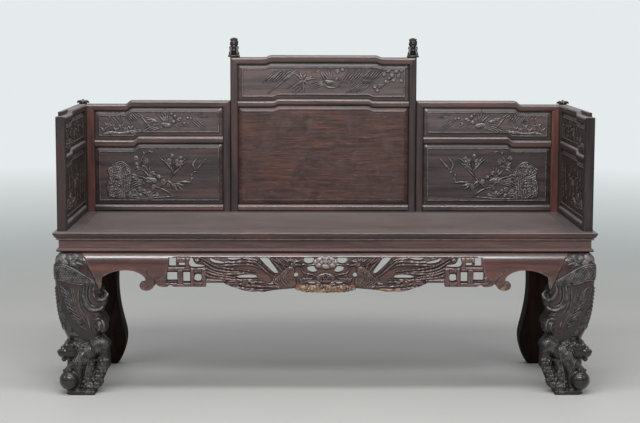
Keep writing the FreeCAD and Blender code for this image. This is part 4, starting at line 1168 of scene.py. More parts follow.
    @staticmethod
    def high_upper(r: Relief) -> None:
        """The upper panel of the middle screen.

        Args:
            r: The relief that is drawn.
        """
        r.bundle(way(14.5, 50, 22.5, 84), way(27, 52, 34.5, 88), 8, 4, 3.4, ends=(0.2, 0.1))
        r.stroke(way(17.5, 20, 24, 46, 31.5, 76), 5, 4.2, ends=(0.2, 0.1))
        r.stroke(way(20.5, 66, 26, 86), 5, 4.4, ends=(0.2, 0.1))
        r.bundle(way(29, 76, 33, 88), way(32, 72, 35, 84), 3, 3.6, 2.6)
        r.bundle(way(28.5, 34, 35, 58), way(33.5, 20, 38.5, 44), 4, 4, 3.8)
        r.fan(
            (0.38, 0.56),
            way(33, 76, 35.5, 82, 40, 78, 44, 68, 45.5, 62, 38.5, 24, 34.5, 44, 41, 46),
            10, 5,
        )
        r.bundle(way(43, 78, 46, 88), way(45, 78, 48.5, 88), 2, 3.6, 2.8)
        r.bird((0.535, 0.52), 84, 5.4)
        r.stroke(way(50, 50, 52, 40, 55.5, 37, 60, 42), 7, 5)
        r.stroke(way(48.5, 78, 50.5, 60, 51.5, 48), 7, 4.8)
        r.bloom((0.58, 0.83), 10, 6, 4)
        r.bloom((0.61, 0.86), 8, 5, 3.8)
        r.bundle(way(59, 46, 65.5, 90), way(67.5, 50, 75.5, 90), 6, 4, 3.4, ends=(0.2, 0.1))
        r.bundle(way(63, 22, 74.5, 58), way(70, 20, 80, 56), 5, 4, 3.6, ends=(0.2, 0.1))
        r.bundle(way(71.5, 56, 78.5, 92), way(80, 58, 86.5, 90), 6, 4, 3.8, ends=(0.2, 0.1))
        for a, b, k in (
            (0.855, 0.74, 10), (0.877, 0.83, 9), (0.9, 0.72, 10), (0.925, 0.82, 9), (0.94, 0.7, 10),
            (0.91, 0.58, 9), (0.955, 0.56, 9), (0.885, 0.63, 8), (0.8, 0.4, 10), (0.832, 0.42, 10),
            (0.815, 0.29, 8), (0.865, 0.54, 8), (0.955, 0.84, 8),
        ):
            r.bloom((a, b), k, 5, 5, turn=a * 20)
        r.stroke(way(80, 30, 86, 48, 93, 64), 5, 3.6)

    @staticmethod
    def arm(r: Relief, seed: int) -> None:
        """An arm's panel: stems that stand up from rocks, with leaves and flowers.

        Args:
            r: The relief that is drawn.
            seed: Which arrangement it gets.
        """
        rng = np.random.default_rng(seed)
        r.mass(way(6, 16, 10, 34, 18, 30, 24, 42, 30, 24, 42, 30, 52, 18, 30, 15), 4.6, crag=0.7, seed=seed)
        for i in range(6):
            a = 0.14 + 0.145 * i
            lean = rng.uniform(-0.04, 0.06)
            path = [(a, 0.2), (a + lean, 0.5), (a + lean * 2.2, 0.8)]
            r.twig(path, 5, 4.6, 7, 24, seed * 10 + i)
            r.peony((a + lean * 2.2, 0.74), 13, 5.6)
            r.peony((a + 0.05, 0.32 + 0.2 * (i % 2)), 12, 5.4)
            r.bloom((a + 0.06, 0.62), 8, 5, 4.6)
        r.bird((0.56, 0.56), 84, 6)


@dataclass(frozen=True)
class ScreenSizes:
    """Where the screens' openings lie."""

    side_span: Place = (-0.886, -0.38915)
    centre_span: Place = (-0.331, 0.331)
    arm_span: Place = (-0.258, 0.26185)
    floor: float = 0.612
    side_mid: Place = (0.836, 0.864)
    side_top: float = 0.976
    centre_mid_top: float = 1.016
    centre_top: float = 1.1555
    rise: float = 0.014
    centre_rise: float = 0.008
    lower_fine: float = 0.92


class Screens:
    """The nine carved panels of the back and the arms."""

    sizes = ScreenSizes()

    def back(self) -> None:
        """Builds the panels of the three back screens."""
        z = self.sizes
        for name, sign in (("back_left", 1), ("back_right", -1)):
            span = z.side_span if sign > 0 else (-z.side_span[1], -z.side_span[0])
            start = 0.0 if sign > 0 else z.rise
            mid, top = ((-0.726 * sign, z.rise * sign),), ((-0.754 * sign, z.rise * sign),)
            low, high = StepEdge(z.side_mid[1] + start, mid), StepEdge(z.side_top + start, top)
            upper = CarvedPanel(f"{name}_upper_panel", Side.BACK, span, low, high)
            PanelArt.low_upper(upper.relief)
            upper.build(panel_wood, Grain.ALONG)
            low, high = StepEdge(z.floor), StepEdge(z.side_mid[0] + start, mid)
            lower = CarvedPanel(f"{name}_lower_panel", Side.BACK, span, low, high)
            lower.relief.fine = z.lower_fine
            PanelArt.low_lower(lower.relief)
            lower.build(low_panel_shaded_wood, Grain.ALONG)
        low = StepEdge(z.centre_mid_top, ((-0.184, z.centre_rise), (0.184, -z.centre_rise)))
        high = StepEdge(z.centre_top, ((-0.215, z.centre_rise), (0.215, -z.centre_rise)))
        centre = CarvedPanel("back_centre_upper_panel", Side.BACK, z.centre_span, low, high)
        PanelArt.high_upper(centre.relief)
        centre.build(panel_wood, Grain.ALONG)

    def arms(self) -> None:
        """Builds the panels of the two arms."""
        z = self.sizes
        for name, side, seed in (("left_arm", Side.LEFT, 3), ("right_arm", Side.RIGHT, 5)):
            mid, top = ((-0.106, z.rise),), ((-0.092, z.rise),)
            low, high = StepEdge(z.side_mid[1] - z.rise, mid), StepEdge(z.side_top - z.rise, top)
            upper = CarvedPanel(f"{name}_upper_panel", side, z.arm_span, low, high)
            PanelArt.arm(upper.relief, seed)
            upper.build(arm_shaded_wood, Grain.ACROSS)
            low, high = StepEdge(z.floor), StepEdge(z.side_mid[0] - z.rise, mid)
            lower = CarvedPanel(f"{name}_lower_panel", side, z.arm_span, low, high)
            PanelArt.arm(lower.relief, seed + 1)
            lower.build(arm_shaded_wood, Grain.ACROSS)


def openwork(gap: Grid) -> tuple[Grid, list, list]:
    """Cuts a grid along the line where gap is zero and keeps the part below zero.

    Args:
        gap: Distance to the wood's edge, below zero in the wood.

    Returns:
        The points as column and row numbers with shares, the faces, and the edge runs as pairs of points.
    """
    solid = gap < 0
    index = -np.ones(gap.shape, int)
    used = np.argwhere(solid)
    index[solid] = np.arange(len(used))
    points = [tuple(p) for p in used.astype(float)]
    whole = cells(solid).all(axis=-1)
    quads = cells(index)[whole]
    faces, runs, crossings = quads.tolist(), [], {}
    some = cells(solid).any(axis=-1) & ~whole
    for i, j in np.argwhere(some):
        corners = [(i, j), (i + 1, j), (i + 1, j + 1), (i, j + 1)]
        walk = []
        for a, b in zip(corners, corners[1:] + corners[:1]):
            if solid[a]:
                walk.append((index[a], 0))
            if solid[a] != solid[b]:
                key = (min(a, b), max(a, b))
                if key not in crossings:
                    k = np.clip(gap[a] / (gap[a] - gap[b]), 0.02, 0.98)
                    crossings[key] = len(points)
                    points.append((a[0] + (b[0] - a[0]) * k, a[1] + (b[1] - a[1]) * k))
                walk.append((crossings[key], 1 if solid[a] else -1))
        faces.append([p for p, _ in walk])
        for (p, out), (q, back) in zip(walk, walk[1:] + walk[:1]):
            if out == 1 and back == -1:
                runs.append((p, q))
    return np.array(points), faces, runs


def closed_loops(runs: list[tuple[int, int]]) -> list[list[int]]:
    """Joins pairs of points into closed loops.

    Args:
        runs: The pairs.

    Returns:
        The loops.
    """
    following = dict(runs)
    loops = []
    while following:
        start, after = following.popitem()
        loop = [start]
        while after != start and after in following:
            loop.append(after)
            after = following.pop(after)
        loops.append(loop)
    return loops


@dataclass(frozen=True)
class ApronSizes:
    """The front apron's sizes; shares of it are measured from the leg's top corner to the middle."""

    half: float = 0.858
    drop: float = 0.1445
    belly_inset: float = 0.005
    belly_drop: float = 0.043
    swell_radius: float = 0.0627
    thickness: float = 0.033
    ground: float = 0.0034
    pitch: float = 0.0021
    crease: float = math.radians(52)


class FrontApron:
    """The pierced apron: plain over the arches, then a key fret, and two phoenixes about a peony."""

    curved_edge: tuple[list[Place], ...] = (
        way(
            7.12, 6.6, 7.35, 15, 7.87, 34, 10.5, 45.5, 13.1, 51.5, 15.7, 54.5, 18.36, 55.3, 21, 53.5,
            23.6, 47.5, 25.44, 39, 25.96, 32, 25.54, 26.2,
        ),
        way(
            25, 25.8, 24, 24.5, 23.55, 18, 23.97, 11, 24.9, 6.6, 26.5, 5, 28.06, 7.3, 29, 12, 29.8, 18.5,
            30.4, 21.5,
        ),
        way(30.65, 20, 31.7, 15.8, 33.57, 14.5, 35, 15.2, 35.67, 18.5, 36.45, 19, 37.24, 16.5),
        way(37.55, 14.8, 50.88, 14.8),
        way(50.88, 24.5, 58.3, 24.5),
        way(
            58.56, 22, 59.7, 19.5, 61.3, 15.2, 63.5, 12, 65.1, 7.8, 67.3, 4.8, 69.5, 2.8, 72.8, 3, 74.5, 2,
            76.1, 4, 77.7, 5.5, 80.5, 7.8, 84.3, 9.8, 87.4, 11.2,
        ),
        way(
            87.6, 8.5, 88.96, 5.5, 89.7, 6.2, 90.6, 2.8, 91.4, 3.4, 92.2, 1, 93.5, 2.2, 94.5, 0.4,
            95.7, 1.8, 96.8, 0.3, 98, 1.4, 99, 0.2, 100, 1,
        ),
    )
    fret_windows: Rows = (
        (0.3567, 0.3855, 0.645, 0.86), (0.397, 0.423, 0.655, 0.74), (0.349, 0.391, 0.295, 0.51),
        (0.4145, 0.4435, 0.26, 0.51),
    )
    windows: tuple[list[Place], ...] = (
        way(45.9, 30, 46.3, 42, 47, 46, 48.8, 45, 49, 36, 48.4, 28, 47, 27),
        way(44.25, 86, 45.2, 86, 45.8, 78, 47, 71, 49.8, 68, 50.5, 63, 44.25, 63),
        way(52.5, 86, 54.5, 81, 56.5, 78, 58.6, 74.5, 58, 70, 54.5, 71.5, 52.7, 77),
        way(59.7, 86, 60, 80, 62.5, 79, 65, 82, 65.3, 86),
        way(62.8, 38, 65, 43, 69, 45, 71.6, 42, 71.2, 35, 68, 34.5, 64.5, 34.5),
        way(72.4, 86, 76, 86, 77.7, 75, 80.3, 52, 79.2, 46, 76.4, 60, 73.8, 76),
        way(91.4, 86, 94.8, 86, 95.2, 80, 94.4, 72, 92.2, 71, 91, 78),
        way(92.5, 64, 95, 66, 95.8, 60, 96.6, 53, 95, 49, 93, 53),
        way(92.2, 25.5, 94.5, 27.5, 96.2, 24.5, 95.5, 20.5, 93.2, 21),
        way(68.4, 24.5, 70.4, 25.5, 71.8, 23, 70.4, 20.5, 68.8, 21),
        way(76, 22.5, 78, 23.5, 79.6, 20.5, 78, 18, 76.3, 18.5),
        way(87, 46, 88, 50, 88.8, 44, 88.2, 38, 87.2, 38),
    )
    strands: Strokes = (
        (way(47.5, 87, 50, 82, 52.8, 72, 56, 64, 61, 58.5, 66, 56, 71, 52), 6, 6.0),
        (way(49, 78, 51.5, 68, 54.5, 58, 60, 52, 66, 50, 72, 44), 6, 5.0),
        (way(56, 68, 60, 68, 65, 70, 70, 68, 73.5, 58), 7, 5.4),
        (way(58.5, 76, 62, 75, 66, 77, 70, 76, 73, 66), 7, 5.0),
        (way(65.5, 86, 68, 84, 71, 82, 73.5, 72), 7, 5.2),
        (way(51, 60, 55, 50, 60, 46, 66, 47, 73, 36), 7, 5.4),
        (way(51.2, 52, 55, 44, 60, 40, 63, 36), 8, 5.0),
        (way(51.2, 42, 54.5, 37.5, 59, 35, 63, 31, 68, 32, 74, 32), 7, 5.2),
        (way(60, 27, 65, 29, 70, 28, 75, 26), 8, 5.6),
        (way(59.5, 22, 64, 22, 69, 17, 75, 15, 80, 17), 9, 6.0),
        (way(62, 15, 67, 10, 72, 7, 78, 9), 9, 5.4),
        (way(66, 7, 70, 4.5, 75, 4.5), 6, 5.0),
        (way(71.5, 86, 74.5, 72, 77, 56, 80, 42), 6, 5.6),
        (way(70, 80, 73, 66, 76, 50, 79, 36), 6, 5.0),
        (way(76.5, 87, 79, 80, 81.5, 72, 85, 66), 6, 5.8),
        (way(77.5, 82, 80, 68, 82, 54, 84, 44), 6, 5.4),
        (way(80, 84, 82, 72, 83.5, 60, 85, 50), 6, 5.6),
        (way(82.5, 84, 84.5, 78, 86, 74), 6, 5.2),
        (way(90, 60, 91.5, 48, 94.5, 45, 96.5, 40), 6, 5.0),
        (way(89.5, 34, 92.5, 33, 94.5, 36, 95.5, 44), 7, 5.4),
        (way(90, 24, 93, 29, 96.5, 28, 98.5, 20), 7, 5.2),
        (way(90.5, 70, 93, 69, 95.5, 70, 97.5, 60), 6, 5.0),
    )

    def __init__(self) -> None:
        """Lays out the grid and cuts the outline and windows."""
        z = self.sizes = ApronSizes()
        self.low = apron_top - z.drop
        u = np.linspace(-z.half - z.pitch, z.half + z.pitch, int(2 * z.half / z.pitch) + 3)
        v = np.linspace(self.low - z.pitch, apron_top + z.pitch, int(z.drop / z.pitch) + 4)
        self.uu, self.vv = np.meshgrid(u, v, indexing="ij")
        self.relief = Relief(self.uu, self.vv, (-z.half, self.low), (z.half, z.drop))

    def gap(self) -> Grid:
        """Distance to the wood's edge, below zero in the wood.

        Returns:
            The distance at each place of the grid.
        """
        half = self.sizes.half
        left = [p for part in self.curved_edge for p in (smooth_path(part, 3) if len(part) > 2 else part)]
        left = [self.relief.at(tuple(p)) for p in left]
        ring = [(-half, apron_top)] + left + [(-x, y) for x, y in reversed(left)] + [(half, apron_top)]
        gap = polygon_distance(ring, self.uu, self.vv)
        boxes = [((a, c), (b, c), (b, d), (a, d)) for a, b, c, d in self.fret_windows]
        curved = [[tuple(p) for p in smooth_path(w + w[:1], 4)[:-1]] for w in self.windows]
        for ring in boxes + curved:
            for sign in (1, -1):
                hole = [(sign * x, y) for x, y in (self.relief.at(p) for p in ring)]
                area = self.relief.near(np.array(hole), 3 * self.sizes.pitch)
                gap[area] = np.maximum(gap[area], -polygon_distance(hole, self.uu[area], self.vv[area]))
        return gap

    def carve(self) -> None:
        """Draws one half: plain shoulder and arch, fret, tail, wings, body, head and flowers."""
        r, ground = self.relief, self.sizes.ground / mm
        r.mass(way(0, 0, 0, 100, 35, 100, 35.2, 62, 34.5, 45, 34.5, 16, 30, 0), ground, 2)
        r.stroke(way(25.8, 56, 27.5, 46, 29.2, 36, 29.9, 27, 29.7, 20), 5, ground + 2.4, ends=(0.2, 0.3))
        r.stroke(way(25, 14, 26.2, 12, 27.2, 17, 26.2, 24), 4, ground + 1.4)
        bars = [
            (0.352, 0.4425, 0.545, 0.635), (0.352, 0.447, 0.15, 0.245), (0.392, 0.413, 0.22, 0.58),
            (0.386, 0.4425, 0.745, 0.87), (0.424, 0.4425, 0.6, 0.87), (0.4455, 0.509, 0.5, 0.615),
            (0.4455, 0.509, 0.15, 0.26), (0.4455, 0.4585, 0.15, 0.6), (0.491, 0.509, 0.15, 0.6),
            (0.509, 0.583, 0.25, 0.335),
        ]
        for a, b, c, d in bars:
            ring = [r.at(p) for p in ((a, c), (b, c), (b, d), (a, d))]
            area = r.near(np.array(ring), 0.004)
            edge = polygon_distance(ring, r.u[area], r.v[area])
            r.lay(area, edge, (ground + 0.9) * mm * np.clip(-edge / (2.6 * mm), 0, 1) ** 0.3)
        r.stroke(way(51.5, 30, 57.5, 30), 3, ground + 2, ends=(1, 1))
        for a, b, k in (
            (0.337, 0.33, 9), (0.512, 0.43, 6), (0.478, 0.53, 4), (0.404, 0.8, 4), (0.472, 0.8, 8),
            (0.583, 0.3, 5),
        ):
            r.bloom((a, b), k, 4, ground + 2)
        r.fan((0.325, 0.2), way(31.8, 30, 34.5, 24, 36, 20), 7, ground + 1)
        for path, width, lift in self.strands:
            r.stroke(path, width, lift, ends=(0.6, 0.25), rib=0.25)
        for path in (self.strands[0][0], self.strands[12][0], self.strands[14][0]):
            for place in smooth_path(path, 3)[1:-1]:
                r.boss(tuple(place), 2.4, 7.4)
        r.mass(
            way(75, 14, 79, 34, 82, 50, 84.5, 64, 86.8, 66, 87.2, 50, 87.8, 34, 87.2, 16, 82, 11),
            5.6, 9,
        )
        r.scales(way(79, 12, 80, 40, 84, 66, 87, 60, 87.2, 40, 86.8, 14), 7, 1.6)
        r.bundle(
            way(82, 14, 78.5, 30, 80, 46), way(86, 14, 83.5, 32, 84.5, 50), 4, 7, 6.4, ends=(0.5, 0.2),
            rib=0.3,
        )
        r.boss((0.868, 0.7), 11, 7.4, 0.9)
        r.stroke(way(87.6, 70, 89.6, 68, 90.5, 64), 6, 6.6, ends=(1, 0.1))
        r.fan((0.862, 0.74), way(83.5, 84, 85.2, 86, 87, 86, 89, 84, 90.5, 78), 7, 6)
        r.boss((0.872, 0.715), 2.4, 8.4)
        for a, b, k in (
            (0.555, 0.84, 10), (0.668, 0.25, 12), (0.632, 0.21, 10), (0.7, 0.2, 9), (0.64, 0.3, 7),
            (0.92, 0.4, 9), (0.905, 0.3, 8), (0.945, 0.56, 6),
        ):
            r.peony((a, b), k, 6.2)
        r.fan((0.9, 0.26), way(93.5, 37, 91.5, 38, 89.3, 36), 8, 6)
        r.mass(
            way(87.8, 9, 89.2, 12.5, 90.5, 17, 92.5, 20, 95, 17.5, 97.5, 19.5, 102, 19, 102, -2, 90, -2),
            7.0, 4, 0.85, 11,
        )
        r.fan((0.985, 0.2), way(93.5, 24, 95.5, 30, 91, 20), 9, 6.6)

    def flowers(self) -> None:
        """The peony and the lotus in the middle."""
        r = self.relief
        for a, b, k, up in (
            (0.036, 0.775, 15, 5.6), (0.021, 0.835, 14, 5.8), (0.0, 0.85, 13, 6.0), (0.024, 0.69, 15, 6.4),
            (0.0, 0.655, 15, 6.8), (0.012, 0.765, 11, 7.4),
        ):
            for sign in (-1, 1) if a else (1,):
                r.boss((1 + sign * a, b), k, up, 0.62, -0.25 * sign)
        r.bloom((1.0, 0.775), 9, 5, 8.4)
        ring = np.hypot(self.uu / 0.047, (self.vv - self.low - 0.75 * self.sizes.drop) / 0.0215)
        r.paint["pale"] = np.maximum(r.paint["pale"], np.where(ring < 1, 0.62, 0.0))
        r.boss((1.0, 0.365), 33, 7.0, 0.52)
        r.bundle(
            way(97.5, 32, 98.5, 40, 100, 45), way(102.5, 32, 101.5, 40, 100, 45), 5, 5, 8, ends=(0.4, 0.2),
        )
        for a in (0.99, 1.0, 1.01):
            r.boss((a, 0.4), 2.6, 8.6)

    def gild(self) -> None:
        """Rubs the low parts bare, where the paler wood shows golden."""
        rub = np.clip(ripple(self.uu, self.vv, 0.05, 21) * 0.8 + 0.75, 0, 1)
        low = self.vv < self.low + 0.2 * self.sizes.drop
        middle = (np.abs(self.uu) < 0.106) & low
        right = (self.uu > 0.175) & (self.uu < 0.262) & (self.vv < self.low + 0.115 * self.sizes.drop)
        tip = np.hypot(self.uu - 0.632, self.vv - self.low - 0.01) < 0.014
        gold = np.where(right, 0.9 * rub, np.where(tip, 0.5, 0.0))
        self.relief.paint["gold"] = np.where(middle, 0.85 * rub, gold)

    def build(self) -> None:
        """Makes the apron, which replaces its node."""
        z, r = self.sizes, self.relief
        self.carve()
        r.corner, r.mirrored = (0.0, self.low), True
        self.carve()
        r.corner, r.mirrored = (-z.half, self.low), False
        self.flowers()
        self.gild()
        gap = self.gap()
        r.height *= np.clip(-gap / (1.2 * mm), 0.35, 1)
        shoulder = np.clip((self.vv - self.low - 0.865 * z.drop) / (2 * mm), 0, 1)
        r.height += (z.ground - r.height) * shoulder
        points, faces, runs = openwork(gap)
        x, y, lift = (sampled(grid, *points.T) for grid in (self.uu, self.vv, r.height))
        rise = np.clip(y - apron_top + z.belly_drop, 0, z.belly_drop)
        inset = z.belly_inset + z.swell_radius - np.sqrt(z.swell_radius**2 - rise**2) + z.ground - lift
        front = np.stack([x, inset - half_depth, y], axis=-1)
        edge = sorted({p for run in runs for p in run})
        back_of = {p: len(front) + k for k, p in enumerate(edge)}
        back = front[edge].copy()
        back[:, 1] = z.belly_inset + z.thickness - half_depth
        faces += [[q, p, back_of[p], back_of[q]] for p, q in runs]
        loops = closed_loops(runs)
        flat = [p for loop in loops for p in loop]
        outlines = [[Vector((front[p][0], front[p][2], 0)) for p in loop] for loop in loops]
        for triangle in tessellate_polygon(outlines):
            faces.append([back_of[flat[k]] for k in triangle])
        tones = {
            k: np.concatenate([sampled(g, *points.T), np.zeros(len(back))])
            for k, g in r.tones().items()
        }
        verts, finish = np.concatenate([front, back]), apron_wood.material(Grain.ALONG)
        piece = new_piece("apron_front_carving", verts, faces, finish, tones)
        keep_creases(piece, z.crease)
        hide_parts("apron_front")
        log.info("front apron: %d faces, %d openings", len(faces), len(loops) - 1)


def ball(centre: Point, radii: Point, turn: Point = (0, 0, 0)) -> Body:
    """A closed rounded lump.

    Args:
        centre: Its middle.
        radii: Its half sizes.
        turn: How it is turned, in degrees about X, Y and Z.

    Returns:
        Its points and faces.
    """
    work = bmesh.new()
    bmesh.ops.create_icosphere(work, subdivisions=3, radius=1.0)
    turned = Euler([math.radians(t) for t in turn]).to_matrix().to_4x4()
    work.transform(Matrix.Translation(centre) @ turned @ Matrix.Diagonal((*radii, 1.0)))
    verts = np.array([v.co[:] for v in work.verts])
    faces = [[v.index for v in f.verts] for f in work.faces]
    work.free()
    return verts, faces


def limb(start: Point, end: Point, thick: Place) -> list[Body]:
    """A row of lumps that melt into one tapered limb.

    Args:
        start: One end.
        end: The other end.
        thick: Its half width at each end.

    Returns:
        The lumps.
    """
    a, b = np.array(start), np.array(end)
    count = max(2, int(np.linalg.norm(b - a) / min(thick) / 0.5))
    shares = np.linspace(0, 1, count)
    return [ball(tuple(a + (b - a) * k), (thick[0] + (thick[1] - thick[0]) * k,) * 3) for k in shares]


def even_ways(count: int) -> Grid:
    """Directions spread evenly over a ball.

    Args:
        count: How many.

    Returns:
        The directions, one a row.
    """
    k = np.arange(count) + 0.5
    level, turn = 1 - 2 * k / count, k * math.pi * (3 - math.sqrt(5))
    flat = np.sqrt(1 - level**2)
    return np.stack([flat * np.cos(turn), flat * np.sin(turn), level], axis=-1)


def melted(name: str, bodies: list[Body], voxel: float, rounds: int) -> Body:
    """Joins closed lumps into one even skin.

    Args:
        name: A name for the work in hand.
        bodies: The lumps.
        voxel: The skin's fineness.
        rounds: How often the skin is smoothed.

    Returns:
        The skin's points and faces.
    """
    verts, faces, count = [], [], 0
    for points, sides in bodies:
        verts.append(points)
        faces += [[p + count for p in side] for side in sides]
        count += len(points)
    mesh = bpy.data.meshes.new(name)
    mesh.from_pydata(np.concatenate(verts).tolist(), [], faces)
    work = linked(name, mesh)
    remesh = work.modifiers.new("skin", "REMESH")
    remesh.mode, remesh.voxel_size = "VOXEL", voxel
    if rounds:
        even = work.modifiers.new("even", "SMOOTH")
        even.iterations, even.factor = rounds, 0.5
    made = bpy.data.meshes.new_from_object(work.evaluated_get(bpy.context.evaluated_depsgraph_get()))
    points = np.empty(len(made.vertices) * 3)
    made.vertices.foreach_get("co", points)
    sides = [list(p.vertices) for p in made.polygons]
    bpy.data.objects.remove(work)
    bpy.data.meshes.remove(mesh)
    bpy.data.meshes.remove(made)
    return points.reshape(-1, 3), sides


def skin_normals(points: Grid, faces: list) -> Grid:
    """The way the skin faces at each point.

    Args:
        points: The skin's points.
        faces: Its faces.

    Returns:
        One direction for each point.
    """
    quads = np.array([f if len(f) == 4 else [*f, f[-1]] for f in faces])
    across = np.cross(points[quads[:, 2]] - points[quads[:, 0]], points[quads[:, 3]] - points[quads[:, 1]])
    total = np.zeros_like(points)
    for k in range(4):
        np.add.at(total, quads[:, k], across)
    return total / np.maximum(np.linalg.norm(total, axis=1, keepdims=True), 1e-12)


@dataclass(frozen=True)
class LegSizes:
    """The front leg's sizes; shares are of its shoulder's width and of its height."""

    width: float = 0.162
    depth_share: float = 0.8
    top_width: float = 0.101
    mitre_drop: float = 0.135
    outer_round: float = 0.034
    inner_round: float = 0.012
    front_round: float = 0.028
    base_along: Place = (0.204, 0.858)
    base_across: Place = (0.105, 0.722)
    base_height: float = 0.015
    voxel: float = 0.0021
    joint_gap: float = 0.0006
    joint_round: float = 0.001
    sole: float = 0.002
    drawn_along: Place = (-0.13, 0.215)
    drawn_up: Place = (0.0, 0.523)
    drawn_step: float = 0.0013
    curl: float = 0.0058
    ball: float = 0.0355
    ball_place: Point = (0.29, 0.21, 0.099)


class FrontLeg:
    """A carved front leg: a knee with a hooked scroll, and a lion that climbs down over a ball."""

    core: tuple[Point, ...] = (
        (0.0, 0.26, 0.78), (0.03, 0.24, 0.82), (0.06, 0.36, 0.87), (0.12, 0.43, 0.94), (0.22, 0.43, 1.05),
        (0.3, 0.36, 1.08), (0.37, 0.25, 1.06), (0.41, 0.2, 1.00), (0.45, 0.155, 1.06),
        (0.488, 0.125, 1.12), (0.53, 0.092, 1.08), (0.565, 0.072, 1.02), (0.6, 0.055, 1.00),
        (0.66, 0.036, 1.05), (0.72, 0.022, 1.02), (0.775, 0.018, 1.0), (0.8, 0.014, 0.98),
        (0.88, 0.01, 0.9), (0.92, 0.02, 0.84), (0.95, 0.045, 0.8), (0.97, 0.078, 0.75),
        (1.0, 0.136, 0.66),
    )
    limbs: tuple[tuple[Point, Point, float, float], ...] = (
        ((0.88, 0.34, 0.335), (0.6, 0.3, 0.262), 34, 31),
        ((0.6, 0.3, 0.262), (0.43, 0.3, 0.19), 31, 26),
        ((0.46, 0.3, 0.19), (0.44, 0.29, 0.03), 25, 21),
        ((0.44, 0.24, 0.218), (0.27, 0.2, 0.182), 14, 11),
        ((1.04, 0.36, 0.3), (1.06, 0.36, 0.21), 23, 22), ((1.03, 0.36, 0.2), (0.86, 0.34, 0.07), 21, 21),
        ((0.86, 0.32, 0.07), (0.7, 0.28, 0.035), 20, 16),
        ((0.3, 0.56, 0.26), (0.28, 0.6, 0.035), 19, 15),
        ((1.00, 0.16, 0.61), (1.07, 0.15, 0.655), 14, 15),
        ((1.07, 0.15, 0.655), (1.13, 0.15, 0.7), 14, 10),
        ((1.13, 0.15, 0.705), (1.08, 0.15, 0.73), 8, 5), ((0.56, 0.86, 0.31), (0.36, 0.8, 0.12), 27, 22),
        ((0.36, 0.8, 0.12), (0.34, 0.74, 0.04), 20, 16), ((0.74, 0.36, 0.24), (0.66, 0.34, 0.04), 22, 19),
    )
    lumps: Rows = (
        (0.98, 0.33, 0.345, 34), (1.1, 0.36, 0.352, 18), (1.00, 0.24, 0.485, 28), (0.31, 0.29, 0.305, 34),
        (0.2, 0.2, 0.296, 21), (0.13, 0.19, 0.29, 14), (0.085, 0.18, 0.302, 9),
        (0.18, 0.21, 0.25, 10.5), (0.25, 0.14, 0.345, 10), (0.15, 0.16, 0.33, 7), (0.37, 0.14, 0.345, 9),
        (0.19, 0.16, 0.17, 7), (0.25, 0.12, 0.168, 7), (0.32, 0.11, 0.172, 7), (0.52, 0.34, 0.32, 27),
        (0.3, 0.52, 0.32, 26), (0.34, 0.78, 0.34, 30),
    )
    curls: Rows = (
        (0.52, 0.34, 0.325, 26, 58), (0.34, 0.48, 0.31, 24, 40), (1.02, 0.36, 0.23, 21, 34),
        (0.88, 0.34, 0.09, 21, 36), (0.36, 0.8, 0.14, 24, 40), (0.66, 0.3, 0.05, 14, 20),
    )
    scrolls: Strokes = (
        (way(69, 78.5, 65.5, 73, 65.5, 68, 72, 63, 84, 60, 96, 60, 106, 62), 15, 8.4),
        (way(62, 77, 60, 69, 64, 62, 75, 57.2, 88, 55.5), 4, 2.6),
        (way(90, 79, 87, 73, 93, 68.4, 105, 66.8, 114, 69, 116, 71.5, 111, 73), 13, 7.2),
        (way(97, 75, 100, 71.8, 106, 70.4), 5, 4.0),
        (way(86, 55.5, 98, 56.2, 110, 54, 117, 49, 112, 43, 100, 40.8), 6, 4.6),
        (way(86, 53, 97, 53.5, 106, 51, 108, 47.5, 103, 44.5), 7, 6.2),
        (way(86, 50, 94, 50.5, 98, 48.5, 96, 45.5, 88, 44), 6, 5.6),
        (way(72, 56, 76, 49, 80, 41), 6, 2.4),
    )
    grooves: Strokes = (
        (way(78, 78, 74.5, 72, 76, 67, 84, 63.6, 96, 63.6), 7, 3.6),
        (way(58, 77.5, 56, 69, 60, 61, 72, 55.5, 84, 53.5), 5, 2.0),
        (way(86, 58, 100, 58.3, 110, 57.2), 6, 3.0),
        (way(40, 78, 45, 68, 53, 60, 64, 51, 74, 44), 4, 1.6),
        (way(7, 78, 10, 68, 17, 58, 30, 49), 4, 1.6),
    )
    wings: tuple[tuple[list[Place], list[Place]], ...] = (
        (
            way(15, 76.8, 22, 69, 32, 60, 44, 52, 58, 45.5),
            way(29, 75.5, 39, 67, 49, 59.5, 60, 51.5, 71, 45.2),
        ),
        (way(-2, 66, 5, 58, 14, 51, 26, 44, 38, 40.5), way(12, 64, 20, 57, 30, 50, 42, 44, 52, 41)),
        (way(4, 77, 5, 68, 10, 58, 20, 48), way(-22, 77, -24, 67, -20, 55, -8, 44)),
        (way(-30, 77, -32, 66, -26, 52), way(-62, 74, -64, 62, -56, 50)),
    )

